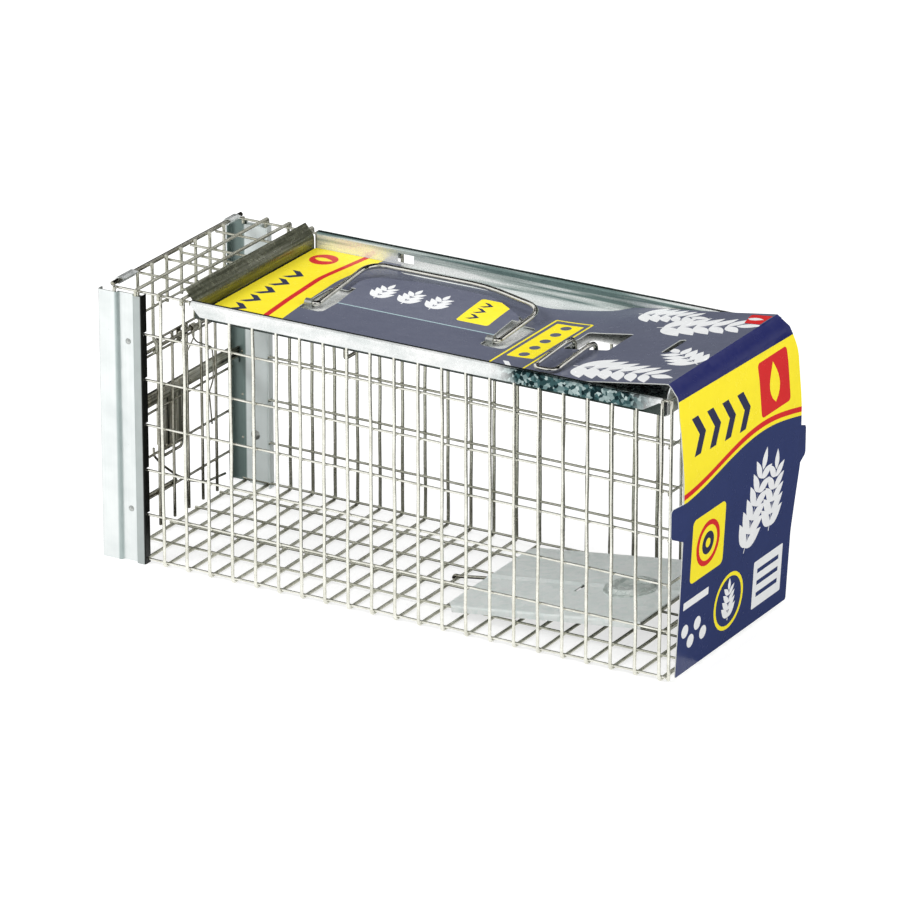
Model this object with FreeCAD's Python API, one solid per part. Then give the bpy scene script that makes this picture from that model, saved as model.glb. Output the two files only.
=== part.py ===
import FreeCAD, Part
import math
import os

# Live catch cage trap.  Millimetres, +Z up.
# While it is built, X runs from the first upright of the side walls (door end) to the rear,
# Y is measured from the middle of the cage (the near side is negative) and Z from the ground.
# Each piece is moved at export so that the origin is the bottom centre of the whole trap.

# ---- Welded mesh ----
UPRIGHT_D = 2.2            # wires that run up the walls and across the floor
LINE_D = 1.6               # wires that run along the cage
PITCH = 17.0               # spacing of the uprights
ROW = 30.0                 # spacing of the long wires
NEAR_ROW_EXTRA = 0.4       # the near wall's long wires are this much wider apart
FAR_ROW_DROP = 1.5         # the far wall's lie this much lower, as the fold is off centre
BAYS_LONG = 23
ROWS_WIDE = 5
ROWS_HIGH = 6
REAR_PANEL_GAP = 5.5       # from the last upright to the rear panel
REAR_UPRIGHTS = 10
TOP_BAYS = 3               # length of the open mesh roof in front of the cover, in bays
HOOK_DROP = 3.8            # turned-down ends of the roof wires
HOOK_BEND = 1.6

# ---- Sheet metal ----
STRIP_SHEET = 0.8          # folded guide strips
COVER_SHEET = 0.8
TREADLE_SHEET = 0.8
FIT_GAP = 0.3              # between pieces that pass each other
TOUCH_GAP = 0.05           # round a rivet in its hole

# ---- Guide strips at the four front corners ----
STRIP_FRONT_REACH = 11.5   # how far the guide stands in front of the first upright
STRIP_FLANGE_X = 20.6      # outer face of the rear flange
STRIP_FLANGE_DEPTH = 6.0
STRIP_LIP_DEPTH = 4.4
STRIP_BOTTOM = 0.0
STRIP_TOP = 181.0
INNER_STRIP_X0 = 0.3
INNER_STRIP_X1 = 19.0
RIVET_X = 9.4
RIVET_Z = (35.6, 148.7)
RIVET_SHANK_R = 1.2
RIVET_OUTER_R = 2.0
RIVET_INNER_R = 3.4
RIVET_HEAD_H = 1.1

# ---- Front end above the door ----
FRONT_ROD_D = 3.0
ROD_CLIPS = ((-69.0, -52.6), (58.0, 69.0))         # sheet clips rolled round the rod, y from and to
HEADER_BOTTOM = 155.0
HEADER_ROW_Z = 158.0
HEADER_WIRES = 7
HANGER_EVERY = 3           # every third header wire goes down to the hinge rod
HINGE_ROD_D = 2.4
HINGE_X = 0.9
HINGE_Z = 128.4

# ---- Door ----
DOOR_WIRE_D = 2.0
DOOR_WIRES = 8
DOOR_OPEN = 95.0           # degrees the door swings in
DOOR_BOTTOM = 4.4
DOOR_TOP = 131.7
DOOR_ROWS = (25.8, 54.2, 83.6, 122.4, 130.7)
DOOR_ROW_OVERHANG = 6.0    # row wires past the outermost door wires
DOUBLE_ROW_D = 2.4         # thicker wire doubling part of the lowest row
DOUBLE_ROW_Y = (-43.0, -3.0)
CLIP_WIDTH = 5.0
CLIP_WALL = 0.7
CLIP_Y = (-51.0, 0.0, 51.0)
HINGE_RUN = 0.06           # radial clearance of the hinge clips
SPRING_WIRE_D = 1.0
SPRING_TURNS = 3.5
SPRING_PITCH = 1.2
SPRING_Y = 10.3            # near end of the coil
SPRING_GAP = 0.4           # between the coil and the hinge rod
SPRING_STEPS = 10          # straight pieces in each turn
SPRING_FALL = 6.0          # both legs leave the coil straight down for this far
NEAR_LEG = (15.4, 26.4)    # bend and end of the near leg, below the hinge rod
NEAR_LEG_SHIFT = 4.0       # the near leg slants towards the near side
FAR_LEG = (11.4, 21.4, 32.4, 44.4, 51.4, 74.4)          # bends of the far leg, below the hinge rod
FAR_LEG_SHIFT = (2.0, 21.5, 23.0, 22.5, 17.5, 20.5)     # and how far each is beyond the coil
PULL_WIRE_D = 1.6
PULL_WIRE_Y = (-27.0, -18.0, -0.5, 14.0, 34.0)     # bends of the pull wire
PULL_WIRE_Z = (52.2, 43.0, 29.5, 21.0, 13.0)
PULL_WIRE_BENDS = (4.0, 8.0, 14.0, 14.0, 20.0)

# ---- Lock bar ----
BAR_SHEET = 0.9
BAR_Z = 85.5
BAR_HEIGHT = 8.0
BAR_DEPTH = 4.6
BAR_END_GAP = 0.4
BAR_CLEARANCE = 0.8        # between the bar and the door rows
PLATE_WIDTH = 30.0
PLATE_DROP = 37.0
PLATE_FLANGE = 4.4
STIRRUP_D = 2.0
STIRRUP_WIDTH = 22.0
STIRRUP_DROP = 6.0
CURL_DROP = 4.5

# ---- Cover ----
COVER_X0 = 57.0
COVER_DEPTH = 12.2         # tray floor below the rail tops
RAIL_SKIRT = 8.8           # outer skirt of the rails
COVER_LIP_RISE = 17.8      # front lip above the tray floor
COVER_LIP_LEAN = 6.5
REAR_LIP_RISE = 18.2
SKIRT_CUT = (14.0, 8.5)     # rear and front corners of the skirts are cut off on a slant this long
REAR_LIP_LEAN = 1.6
TRAY_SLOT = (289.5, 311.5, -13.0, 20.0)
RAIL_HOLE = (118.0, 130.0, 3.0, 9.0)     # x from, x to, z above the tray floor from, to

# ---- Card sleeve ----
CARD_T = 0.6
CARD_LIFT = 1.2            # card above the tray floor
CARD_FRONT_X = 57.5
CARD_BEND_X = 275.0
CARD_BEND_R = 300.0
CARD_SLOT = (287.0, 319.0, -13.0, 20.0)
HANG_SLOT = (356.5, 360.0, -14.0, 12.0)
CARD_BACK_GAP = 8.6        # back panel behind the rear panel, where it bulges most
CARD_FOOT_GAP = 3.2        # and at its lower edge
CARD_BULGE_Z = (100.0, 135.0)
CARD_BEVEL = (7.0, 6.5, 2.8, 26.0)       # bends behind the ridge: behind it, below it, before the back, below
CARD_BEVEL_BENDS = (8.0, 60.0, 90.0, 140.0)
CARD_RIDGE_RISE = 20.1     # ridge above the tray floor
CARD_RIDGE_BACK = 2.5      # ridge behind the last upright
CARD_BOTTOM = 4.0
CARD_BACK_HALF = 76.0
CARD_BACK_TAPER = 6.5      # the far edge of the back panel comes in this much at the bottom
CARD_RIDGE_NARROW = (3.0, 9.0)          # near and far edge come in this much at the ridge
CARD_SHOULDER_DROP = 20.0  # the back panel has its full width from here down
CARD_TAPER_DROP = 44.0     # and its bottom width from here below the tabs
CARD_EDGE_BENDS = (8.0, 24.0, 20.0, 30.0)          # of the back panel's long edge, from the ridge down
CARD_NOTCH_X = (120.0, 292.0)            # shallow finger notches in the long edges
CARD_NOTCH_DEPTH = 23.0
CARD_NOTCH_STEP = 14.0     # depth of the flat front part of a notch
CARD_NOTCH_DIP = (0.7, 40.0, 9.0)        # deepest place in the length, run down to it, depth at the rear end
CARD_NOTCH_BENDS = (8.0, 30.0, 26.0, 12.0)
CARD_TAB_Z = (95.0, 119.0)
CARD_TAB_LENGTH = 9.0
CARD_TAB_FOLD = 30.0
FLAP_CREASE_Y = -9.0
FLAP_RISE = 4.5
FLAP_INSET = (4.5, 5.0, 8.0)             # inside the handle at the front, the rear and the bar
FLAP_SLOPES = ((8.0, 40.0), (22.0, 34.0))          # its front and rear corners: along Y, along X
FLAP_BENDS = (14.0, 60.0, 40.0, 16.0)

# ---- Carry handle ----
HANDLE_D = 3.5
HANDLE_X0 = 114.5
HANDLE_SPAN = 131.0
HANDLE_Y = -20.0
HANDLE_REACH = 68.6
HANDLE_TILT = 4.6
HANDLE_SLOPE = (48.0, 15.0)              # the rear shoulder slopes over this length and depth
HANDLE_BENDS = (12.0, 70.0, 18.0)        # bend radii from the front corner to the rear one
HANDLE_PIN = 9.0
HANDLE_FOOT_BEND = 2.6
BRACKET_WIDTH = 5.0
BRACKET_WALL = 1.0
BRACKET_FOOT = 6.0
BRACKET_INSET = 1.0
HANDLE_WINDOW = 18.0       # length of the card's openings at the handle's feet
HANDLE_WINDOW_Y = (-8.0, 34.0)           # and their edges beside the pivot
PIVOT_RUN = 0.06

# ---- Setting loop ----
LOOP_D = 3.0
LOOP_X = (293.0, 308.0)
LOOP_Y = -9.0
LOOP_REACH = 52.0
LOOP_PIVOT_DROP = 3.4      # pivot below the tray floor
LOOP_HUMP = 15.0           # top of the hump above the pivot
LOOP_END_RISE = 13.0       # closed end above the pivot
LOOP_PIN = 10.5

# ---- Treadle and trip ----
TREADLE_BAY = 12           # floor wire that the treadle turns on
TREADLE_BEHIND = 24.0      # its front edge behind that wire
TREADLE_LENGTH = 139.0
TREADLE_HALF = 55.0
TREADLE_FRONT_Z = 8.0
TREADLE_TILT = 7.4
TREADLE_LIP = 4.0
TREADLE_ROD_D = 2.2
TREADLE_SLOT = (69.0, 71.6, -14.0, -2.0)       # x from, x to behind the front edge, y from, y to
DISH_BEHIND = 103.0        # middle of the dish behind the front edge
DISH_R = 16.0
DISH_H = 2.4
DISH_SHEET = 0.7
TREADLE_TRAVEL = 2.5       # degrees from set to tripped
TRIP_ROD_D = 2.4
TRIP_HOOK_X = 122.5        # the hook stands under the wire ends of the raised door
TRIP_HOOK_REACH = 11.0
TRIP_GUIDE_X = (142.0, 262.0, 338.0)
TRIP_RUN = 0.1
CRANK_INSET = 27.0         # crank pivot in front of the last upright
CRANK_Z = 157.0
CRANK_ARM = 12.0           # pivot to the link
CRANK_RISE = 8.0           # pivot to the trip rod
CRANK_SHEET = 1.2
CRANK_Y = 2.6              # near face of the crank
CRANK_PIN_D = 3.0
LINK_D = 2.0
LINK_HOOK_R = 3.0

# ---- Values that follow from those above ----
WIRE_R = UPRIGHT_D / 2
LINE_R = LINE_D / 2
CAGE_LENGTH = BAYS_LONG * PITCH
HALF_WIDTH = ROWS_WIDE * ROW / 2          # plane where uprights and long wires touch
UPRIGHT_Y = HALF_WIDTH + WIRE_R
LINE_Y = HALF_WIDTH - LINE_R
FLOOR_LINE_Z = UPRIGHT_D + LINE_R
BEND_R = WIRE_R + LINE_R                  # uprights are folded round the lowest long wire
ROOF_LINE_Z = FLOOR_LINE_Z + ROWS_HIGH * ROW
ROOF_TOP = ROOF_LINE_Z + LINE_R
UPRIGHT_TOP = ROOF_TOP - 0.1
REAR_X = CAGE_LENGTH + REAR_PANEL_GAP
ROOF_X1 = TOP_BAYS * PITCH
FRONT_ROD_X = HINGE_X - WIRE_R - FRONT_ROD_D / 2
DOOR_X = HINGE_X - HINGE_ROD_D / 2 - 0.2 - DOOR_WIRE_D / 2
DOOR_ROW_X = DOOR_X - DOOR_WIRE_D / 2 - LINE_R
DOOR_HALF = (DOOR_WIRES - 1) * PITCH / 2
RAIL_TOP = ROOF_TOP + COVER_SHEET + 0.02
TRAY_TOP = RAIL_TOP - COVER_DEPTH
SKIRT_Y = UPRIGHT_Y + WIRE_R + FIT_GAP
RAIL_WALL_Y = LINE_Y - LINE_R - FIT_GAP
COVER_X1 = CAGE_LENGTH
CARD_X1 = REAR_X + WIRE_R + CARD_BACK_GAP
CARD_Z = TRAY_TOP + CARD_LIFT
CARD_RIDGE_X = CAGE_LENGTH + CARD_RIDGE_BACK
CRANK_X = CAGE_LENGTH - CRANK_INSET
CARD_RIDGE_Z = TRAY_TOP + CARD_RIDGE_RISE
CARD_HALF = RAIL_WALL_Y - COVER_SHEET - FIT_GAP
HANDLE_Z = TRAY_TOP + BRACKET_WALL + HANDLE_D / 2 + FIT_GAP
HANDLE_X1 = HANDLE_X0 + HANDLE_SPAN
LOOP_Z = TRAY_TOP - COVER_SHEET - LOOP_PIVOT_DROP
TREADLE_PIVOT_X = TREADLE_BAY * PITCH
TREADLE_PIVOT_Z = WIRE_R
TREADLE_X0 = TREADLE_PIVOT_X + TREADLE_BEHIND
DISH_X = TREADLE_X0 + DISH_BEHIND
TRIP_HOOK_Z = (HINGE_Z - (HINGE_X - DOOR_X) * math.sin(math.radians(DOOR_OPEN))
               - (HINGE_Z - DOOR_BOTTOM) * math.cos(math.radians(DOOR_OPEN))
               - DOOR_WIRE_D / 2 - TRIP_ROD_D / 2 - 2 * FIT_GAP)
CRANK_SWING = math.degrees(math.asin((CRANK_X + CRANK_ARM - TREADLE_PIVOT_X)
                                     * math.radians(TREADLE_TRAVEL) / (2 * CRANK_ARM)))
TRIP_Z = CRANK_Z + CRANK_RISE * (1 + math.cos(math.radians(CRANK_SWING))) / 2
TRIP_REAR_X = CRANK_X - CRANK_RISE * math.sin(math.radians(CRANK_SWING))
LINK_X = CRANK_X + CRANK_ARM * math.cos(math.radians(CRANK_SWING / 2))
LINK_TOP = CRANK_Z + CRANK_ARM * math.sin(math.radians(CRANK_SWING))
SHIFT_X = -(CARD_X1 + CARD_T - STRIP_FRONT_REACH) / 2


# ---- Building blocks ----
def vec(x, y, z):
    return FreeCAD.Vector(x, y, z)


def rod(start, end, diameter):
    """Straight round wire between two points."""
    axis = end - start
    return Part.makeCylinder(diameter / 2, axis.Length, start, axis)


def rounded_edges(points, radii, closed):
    """Edges of a path whose corners are arcs of the given radii."""
    count = len(points)
    edges = []
    last = None
    first = None
    for i, point in enumerate(points):
        at_end = not closed and i in (0, count - 1)
        radius = 0.0 if at_end else radii[i]
        if radius < 1e-6:
            enter, leave, arc = point, point, None
        else:
            back = (points[i - 1] - point).normalize()
            ahead = (points[(i + 1) % count] - point).normalize()
            half = back.getAngle(ahead) / 2
            setback = radius / math.tan(half)
            middle = (back + ahead).normalize()
            enter = point + back * setback
            leave = point + ahead * setback
            crown = point + middle * (radius / math.sin(half) - radius)
            arc = Part.Arc(enter, crown, leave).toShape()
        if last is not None and (enter - last).Length > 1e-6:
            edges.append(Part.makeLine(last, enter))
        if arc is not None:
            edges.append(arc)
        if first is None:
            first = enter
        last = leave
    if closed and (first - last).Length > 1e-6:
        edges.append(Part.makeLine(last, first))
    return edges


def bent_wire(points, radii, diameter):
    """Round wire along a path: straight lengths joined by round bends."""
    pieces = []
    last = points[0]
    for i in range(1, len(points) - 1):
        point = points[i]
        back = (points[i - 1] - point).normalize()
        ahead = (points[i + 1] - point).normalize()
        half = back.getAngle(ahead) / 2
        setback = radii[i] / math.tan(half)
        enter = point + back * setback
        centre = point + (back + ahead).normalize() * (radii[i] / math.sin(half))
        pieces.append(rod(last, enter, diameter))
        disc = Part.Face(Part.Wire(Part.makeCircle(diameter / 2, enter, back)))
        pieces.append(disc.revolve(centre, ahead.cross(back), 180 - math.degrees(2 * half)))
        last = point + ahead * setback
    pieces.append(rod(last, points[-1], diameter))
    return pieces[0].multiFuse(pieces[1:])


def on_axis(axis, u, v, w):
    """Point from profile coordinates u, v and its place w along the axis."""
    if axis == "x":
        return vec(w, u, v)
    if axis == "y":
        return vec(u, w, v)
    return vec(u, v, w)


def prism(outline, axis, low, high):
    """Solid with the given outline (u, v, corner radius), from low to high along an axis."""
    points = [on_axis(axis, p[0], p[1], low) for p in outline]
    radii = [p[2] if len(p) > 2 else 0.0 for p in outline]
    face = Part.Face(Part.Wire(rounded_edges(points, radii, True)))
    return face.extrude(on_axis(axis, 0, 0, high - low))


def ribbon(path, sheet):
    """Outline of a folded sheet whose mid-line is the path (u, v, bend radius)."""
    sides = ([], [])
    count = len(path)
    for i in range(count):
        here = path[i]
        normals = []
        if i > 0:
            normals.append(unit_normal(path[i - 1], here))
        if i < count - 1:
            normals.append(unit_normal(here, path[i + 1]))
        nu = sum(n[0] for n in normals)
        nv = sum(n[1] for n in normals)
        length = math.hypot(nu, nv)
        nu, nv = nu / length, nv / length
        mitre = 1.0 / (nu * normals[0][0] + nv * normals[0][1])
        bend = here[2] if len(here) > 2 else 0.0
        turn = 0.0
        if len(normals) == 2:
            turn = math.copysign(1.0, normals[0][0] * normals[1][1] - normals[0][1] * normals[1][0])
        for side, sign in ((sides[0], 1.0), (sides[1], -1.0)):
            offset = sign * sheet / 2
            radius = max(bend - turn * offset, 0.0) if bend > 0 else 0.0
            side.append((here[0] + nu * mitre * offset, here[1] + nv * mitre * offset, radius))
    return sides[0] + sides[1][::-1]


def unit_normal(a, b):
    du, dv = b[0] - a[0], b[1] - a[1]
    length = math.hypot(du, dv)
    return (-dv / length, du / length)


def folded_sheet(path, sheet, axis, low, high):
    """Sheet folded along the path and extruded along an axis."""
    return prism(ribbon(path, sheet), axis, low, high)


def box(x0, x1, y0, y1, z0, z1):
    return Part.makeBox(x1 - x0, y1 - y0, z1 - z0, vec(x0, y0, z0))


def mirrored(shape):
    """The same piece on the other side of the cage."""
    return shape.mirror(vec(0, 0, 0), vec(0, 1, 0))


def solids(shapes):
    """Compound of separate solids."""
    found = []
    for shape in shapes:
        found.extend(shape.Solids)
    return Part.makeCompound(found)


def save(name, shape):
    placed = shape.copy()
    placed.translate(vec(SHIFT_X, 0, 0))
    placed.exportStep("parts/" + name + ".step")
    print(name, len(shape.Solids), "solids", "valid" if shape.isValid() else "NOT VALID")


# ---- Cage ----
def near_rows():
    """Heights of the long wires up the near wall."""
    rows = [FLOOR_LINE_Z + row * (ROW + NEAR_ROW_EXTRA) for row in range(ROWS_HIGH)]
    return rows + [ROOF_LINE_Z]


def far_rows():
    rows = [FLOOR_LINE_Z + row * ROW - FAR_ROW_DROP for row in range(1, ROWS_HIGH)]
    return [FLOOR_LINE_Z] + rows + [ROOF_LINE_Z]


def side_mesh(rows):
    """Near wall: uprights folded under the lowest long wire, and a long wire at each row."""
    wires = []
    for bay in range(BAYS_LONG + 1):
        x = bay * PITCH
        wires.append(bent_wire(
            [vec(x, -UPRIGHT_Y, UPRIGHT_TOP), vec(x, -UPRIGHT_Y, WIRE_R), vec(x, -LINE_Y, WIRE_R)],
            [0, BEND_R - 0.001, 0], UPRIGHT_D))
    for z in rows:
        wires.append(rod(vec(FRONT_ROD_X, -LINE_Y, z), vec(REAR_X - WIRE_R, -LINE_Y, z), LINE_D))
    return solids(wires)


def floor_mesh():
    """Floor wires that carry on from the side walls, with long wires on top of them."""
    wires = []
    for bay in range(BAYS_LONG + 1):
        x = bay * PITCH
        wires.append(rod(vec(x, -LINE_Y, WIRE_R), vec(x, LINE_Y, WIRE_R), UPRIGHT_D))
    for row in range(1, ROWS_WIDE):
        y = -HALF_WIDTH + row * ROW
        end = REAR_X - WIRE_R - LINE_D
        wires.append(rod(vec(-WIRE_R, y, FLOOR_LINE_Z), vec(end, y, FLOOR_LINE_Z), LINE_D))
    return solids(wires)


def rear_panel():
    """Rear wall: its own flat mesh against the ends of the long wires."""
    wires = []
    pitch = 2 * LINE_Y / (REAR_UPRIGHTS - 1)
    for i in range(REAR_UPRIGHTS):
        y = -LINE_Y + i * pitch
        wires.append(rod(vec(REAR_X, y, WIRE_R), vec(REAR_X, y, UPRIGHT_TOP), UPRIGHT_D))
    reach = LINE_Y - LINE_R - TOUCH_GAP
    for row in range(ROWS_HIGH + 1):
        z = FLOOR_LINE_Z + row * ROW
        x = REAR_X - WIRE_R - LINE_R
        wires.append(rod(vec(x, -reach, z), vec(x, reach, z), LINE_D))
    return solids(wires)


def roof_mesh():
    """Short open mesh in front of the cover, with an extra wire along the middle."""
    wires = []
    for bay in range(1, TOP_BAYS + 1):
        x = bay * PITCH
        z = ROOF_TOP + WIRE_R
        edge = UPRIGHT_Y + UPRIGHT_D + TOUCH_GAP
        points = [vec(x, -edge, z - HOOK_DROP), vec(x, -edge, z), vec(x, edge, z), vec(x, edge, z - HOOK_DROP)]
        wires.append(bent_wire(points, [0, HOOK_BEND, HOOK_BEND, 0], UPRIGHT_D))
    for row in range(1, ROWS_WIDE):
        y = -HALF_WIDTH + row * ROW
        wires.append(rod(vec(FRONT_ROD_X, y, ROOF_LINE_Z), vec(ROOF_X1 + WIRE_R, y, ROOF_LINE_Z), LINE_D))
    front = HINGE_X + WIRE_R + TOUCH_GAP
    wires.append(rod(vec(front, 0, ROOF_LINE_Z), vec(ROOF_X1 + WIRE_R, 0, ROOF_LINE_Z), LINE_D))
    return solids(wires)


def front_rod():
    z = ROOF_TOP + FRONT_ROD_D / 2
    return rod(vec(FRONT_ROD_X, -UPRIGHT_Y, z), vec(FRONT_ROD_X, UPRIGHT_Y, z), FRONT_ROD_D)


def rod_clip(y0, y1):
    """Sheet rolled round the front rod, with a tail that lies on the roof wires."""
    z = ROOF_TOP + FRONT_ROD_D / 2
    r = FRONT_ROD_D / 2 + CLIP_WALL / 2 + TOUCH_GAP
    path = [(FRONT_ROD_X + 2.2 * r, z + 0.6 * r, 0), (FRONT_ROD_X + r, z + r, 0.4 * r),
            (FRONT_ROD_X - r, z + r, 0.9 * r), (FRONT_ROD_X - r, z - r, 0.9 * r),
            (FRONT_ROD_X + r, z - r, 0.9 * r), (FRONT_ROD_X + r, z - 0.1 * r, 0)]
    return folded_sheet(path, CLIP_WALL, "y", y0, y1)


def rod_clips():
    return solids([rod_clip(*place) for place in ROD_CLIPS])


def header():
    """Mesh above the doorway; two of its wires go down and hook round the hinge rod."""
    wires = []
    first = -(HEADER_WIRES - 1) * PITCH / 2
    top = ROOF_TOP + FRONT_ROD_D
    hook_r = HINGE_ROD_D / 2 + WIRE_R + TOUCH_GAP
    for i in range(HEADER_WIRES):
        y = first + i * PITCH
        if i % HANGER_EVERY == 1:
            path = [vec(HINGE_X, y, top), vec(HINGE_X, y, HINGE_Z + hook_r + 5.0),
                    vec(HINGE_X + hook_r, y, HINGE_Z + hook_r + 1.0),
                    vec(HINGE_X + hook_r, y, HINGE_Z - hook_r), vec(HINGE_X - 0.2, y, HINGE_Z - hook_r)]
            wires.append(bent_wire(path, [0, 2.0, 2.0, hook_r - 0.1, 0], UPRIGHT_D))
        else:
            wires.append(rod(vec(HINGE_X, y, HEADER_BOTTOM), vec(HINGE_X, y, top), UPRIGHT_D))
    x = HINGE_X + WIRE_R + LINE_R
    reach = LINE_Y - LINE_R
    wires.append(rod(vec(x, -reach, HEADER_ROW_Z), vec(x, reach, HEADER_ROW_Z), LINE_D))
    return solids(wires)


def hinge_rod():
    return rod(vec(HINGE_X, -HALF_WIDTH, HINGE_Z), vec(HINGE_X, HALF_WIDTH, HINGE_Z), HINGE_ROD_D)


# ---- Guide strips ----
def guide_strip(rows):
    """Near outer strip: guide channel, joggle down between the uprights, flange at the rear."""
    half = STRIP_SHEET / 2
    outer = UPRIGHT_Y + WIRE_R + TOUCH_GAP + half
    inner = HALF_WIDTH + half
    front = -STRIP_FRONT_REACH + half
    rear = STRIP_FLANGE_X - half
    step = WIRE_R + 0.9
    path = [(front, -(outer - STRIP_LIP_DEPTH), 0), (front, -outer, 1.0), (step, -outer, 0.8),
            (step + 1.5, -inner, 0.8), (PITCH - step - 1.5, -inner, 0.8), (PITCH - step, -outer, 0.8),
            (rear, -outer, 1.0), (rear, -(outer - STRIP_FLANGE_DEPTH), 0)]
    strip = folded_sheet(path, STRIP_SHEET, "z", STRIP_BOTTOM, STRIP_TOP)
    for z in rows:
        notch = LINE_R + FIT_GAP
        strip = strip.cut(box(rear - 1.5, rear + 1.5, -HALF_WIDTH - FIT_GAP, 0, z - notch, z + notch))
    for z in RIVET_Z:
        hole = RIVET_SHANK_R + TOUCH_GAP
        strip = strip.cut(Part.makeCylinder(hole, 10, vec(RIVET_X, -HALF_WIDTH - 5, z), vec(0, 1, 0)))
    stop = prism([(-9.0, BAR_Z - 3.2, 0), (-5.0, BAR_Z - 3.2, 0), (-5.0, BAR_Z - TOUCH_GAP, 0),
                  (-9.0, BAR_Z - TOUCH_GAP, 0)], "y", -(outer - half) - 0.01, -(outer - half) + 1.4)
    return strip.fuse(stop).removeSplitter()


def backing_strip():
    """Flat strip inside the wall that the guide strip is riveted to."""
    face = LINE_Y - LINE_R
    strip = prism([(INNER_STRIP_X0, -face, 0), (INNER_STRIP_X1, -face, 0),
                   (INNER_STRIP_X1, -face + STRIP_SHEET, 0.5), (INNER_STRIP_X0, -face + STRIP_SHEET, 0.5)],
                  "z", STRIP_BOTTOM + 4.0, STRIP_TOP - 1.0)
    for z in RIVET_Z:
        hole = RIVET_SHANK_R + TOUCH_GAP
        strip = strip.cut(Part.makeCylinder(hole, 10, vec(RIVET_X, -face - 5, z), vec(0, 1, 0)))
    row_cut = LINE_R + FIT_GAP
    x0 = HINGE_X + WIRE_R - FIT_GAP
    strip = strip.cut(box(x0 - 3, x0 + LINE_D + 2 * FIT_GAP, -face - 1, 0, HEADER_ROW_Z - row_cut,
                          HEADER_ROW_Z + row_cut))
    rod_cut = HINGE_ROD_D / 2 + TOUCH_GAP
    return strip.cut(box(0, HINGE_X + rod_cut, -face - 1, 0, HINGE_Z - rod_cut, HINGE_Z + rod_cut))


def dome(radius, height, base, direction):
    """Rivet head: a cap of a sphere on a flat base."""
    sphere_r = (radius ** 2 + height ** 2) / (2 * height)
    centre = base - direction * (sphere_r - height)
    ball = Part.makeSphere(sphere_r, centre)
    keep = Part.makeCylinder(radius * 1.2, height * 1.2, base, direction)
    return ball.common(keep)


def strip_rivet(z):
    outer = -(HALF_WIDTH + STRIP_SHEET)
    inner = -(LINE_Y - LINE_R - STRIP_SHEET)
    shank = rod(vec(RIVET_X, outer - 0.01, z), vec(RIVET_X, inner + 0.01, z), 2 * RIVET_SHANK_R)
    head = dome(RIVET_OUTER_R, RIVET_HEAD_H, vec(RIVET_X, outer, z), vec(0, -1, 0))
    tail = dome(RIVET_INNER_R, RIVET_HEAD_H, vec(RIVET_X, inner, z), vec(0, 1, 0))
    return shank.fuse([head, tail]).removeSplitter()


# ---- Door ----
def door_mesh():
    """Swinging door: upright wires with cross rows on the outside, the lowest row half doubled."""
    wires = []
    for i in range(DOOR_WIRES):
        y = -DOOR_HALF + i * PITCH
        wires.append(rod(vec(DOOR_X, y, DOOR_BOTTOM), vec(DOOR_X, y, DOOR_TOP), DOOR_WIRE_D))
    reach = DOOR_HALF + DOOR_ROW_OVERHANG
    for z in DOOR_ROWS:
        wires.append(rod(vec(DOOR_ROW_X, -reach, z), vec(DOOR_ROW_X, reach, z), LINE_D))
    z = DOOR_ROWS[0] + LINE_R + DOUBLE_ROW_D / 2
    x = DOOR_X - DOOR_WIRE_D / 2 - DOUBLE_ROW_D / 2
    wires.append(rod(vec(x, DOUBLE_ROW_Y[0], z), vec(x, DOUBLE_ROW_Y[1], z), DOUBLE_ROW_D))
    return solids(wires)


def hinge_clip(y):
    """Sheet clip rolled round the hinge rod, with a tail between the two top rows."""
    inner = HINGE_ROD_D / 2 + HINGE_RUN
    outer = inner + CLIP_WALL
    low, high = y - CLIP_WIDTH / 2, y + CLIP_WIDTH / 2
    face = DOOR_ROW_X + LINE_R
    roll = Part.makeCylinder(outer, CLIP_WIDTH, vec(HINGE_X, low, HINGE_Z), vec(0, 1, 0))
    tail_z = DOOR_ROWS[-2] - LINE_R
    tail = box(face, face + CLIP_WALL, low, high, tail_z, DOOR_ROWS[-1] + LINE_R)
    bridge = box(face, HINGE_X, low, high, HINGE_Z - outer, HINGE_Z - outer + CLIP_WALL)
    bore = Part.makeCylinder(inner, CLIP_WIDTH, vec(HINGE_X, low, HINGE_Z), vec(0, 1, 0))
    return roll.fuse([tail, bridge]).cut(bore).removeSplitter()


def hinge_clips():
    return solids([hinge_clip(y) for y in CLIP_Y])


def door_spring():
    """Torsion spring round the hinge rod; both its legs lie on the inside of the door."""
    radius = HINGE_ROD_D / 2 + SPRING_WIRE_D / 2 + SPRING_GAP
    leg_x = DOOR_X + DOOR_WIRE_D / 2 + SPRING_WIRE_D / 2 + TOUCH_GAP
    steps = round(SPRING_TURNS * SPRING_STEPS)
    coil = []
    for step in range(steps + 1):
        turn = step / SPRING_STEPS
        angle = 2 * math.pi * turn
        coil.append(vec(HINGE_X + radius * math.cos(angle), SPRING_Y + SPRING_PITCH * turn,
                        HINGE_Z + radius * math.sin(angle)))
    end = coil[-1]
    fall = HINGE_Z - SPRING_FALL
    near = [vec(leg_x, SPRING_Y - 1.5 * NEAR_LEG_SHIFT, HINGE_Z - NEAR_LEG[1]),
            vec(leg_x, SPRING_Y - NEAR_LEG_SHIFT, HINGE_Z - NEAR_LEG[0]),
            vec(HINGE_X + radius, SPRING_Y - SPRING_WIRE_D / 5, fall)]
    far = [vec(end.x, end.y + SPRING_WIRE_D / 5, fall)]
    for drop, shift in zip(FAR_LEG, FAR_LEG_SHIFT):
        far.append(vec(leg_x, end.y + shift, HINGE_Z - drop))
    path = Part.makePolygon(near + coil + far)
    circle = Part.Wire(Part.makeCircle(SPRING_WIRE_D / 2, near[0], near[1] - near[0]))
    return path.makePipeShell([circle], True, False, 1)


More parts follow.
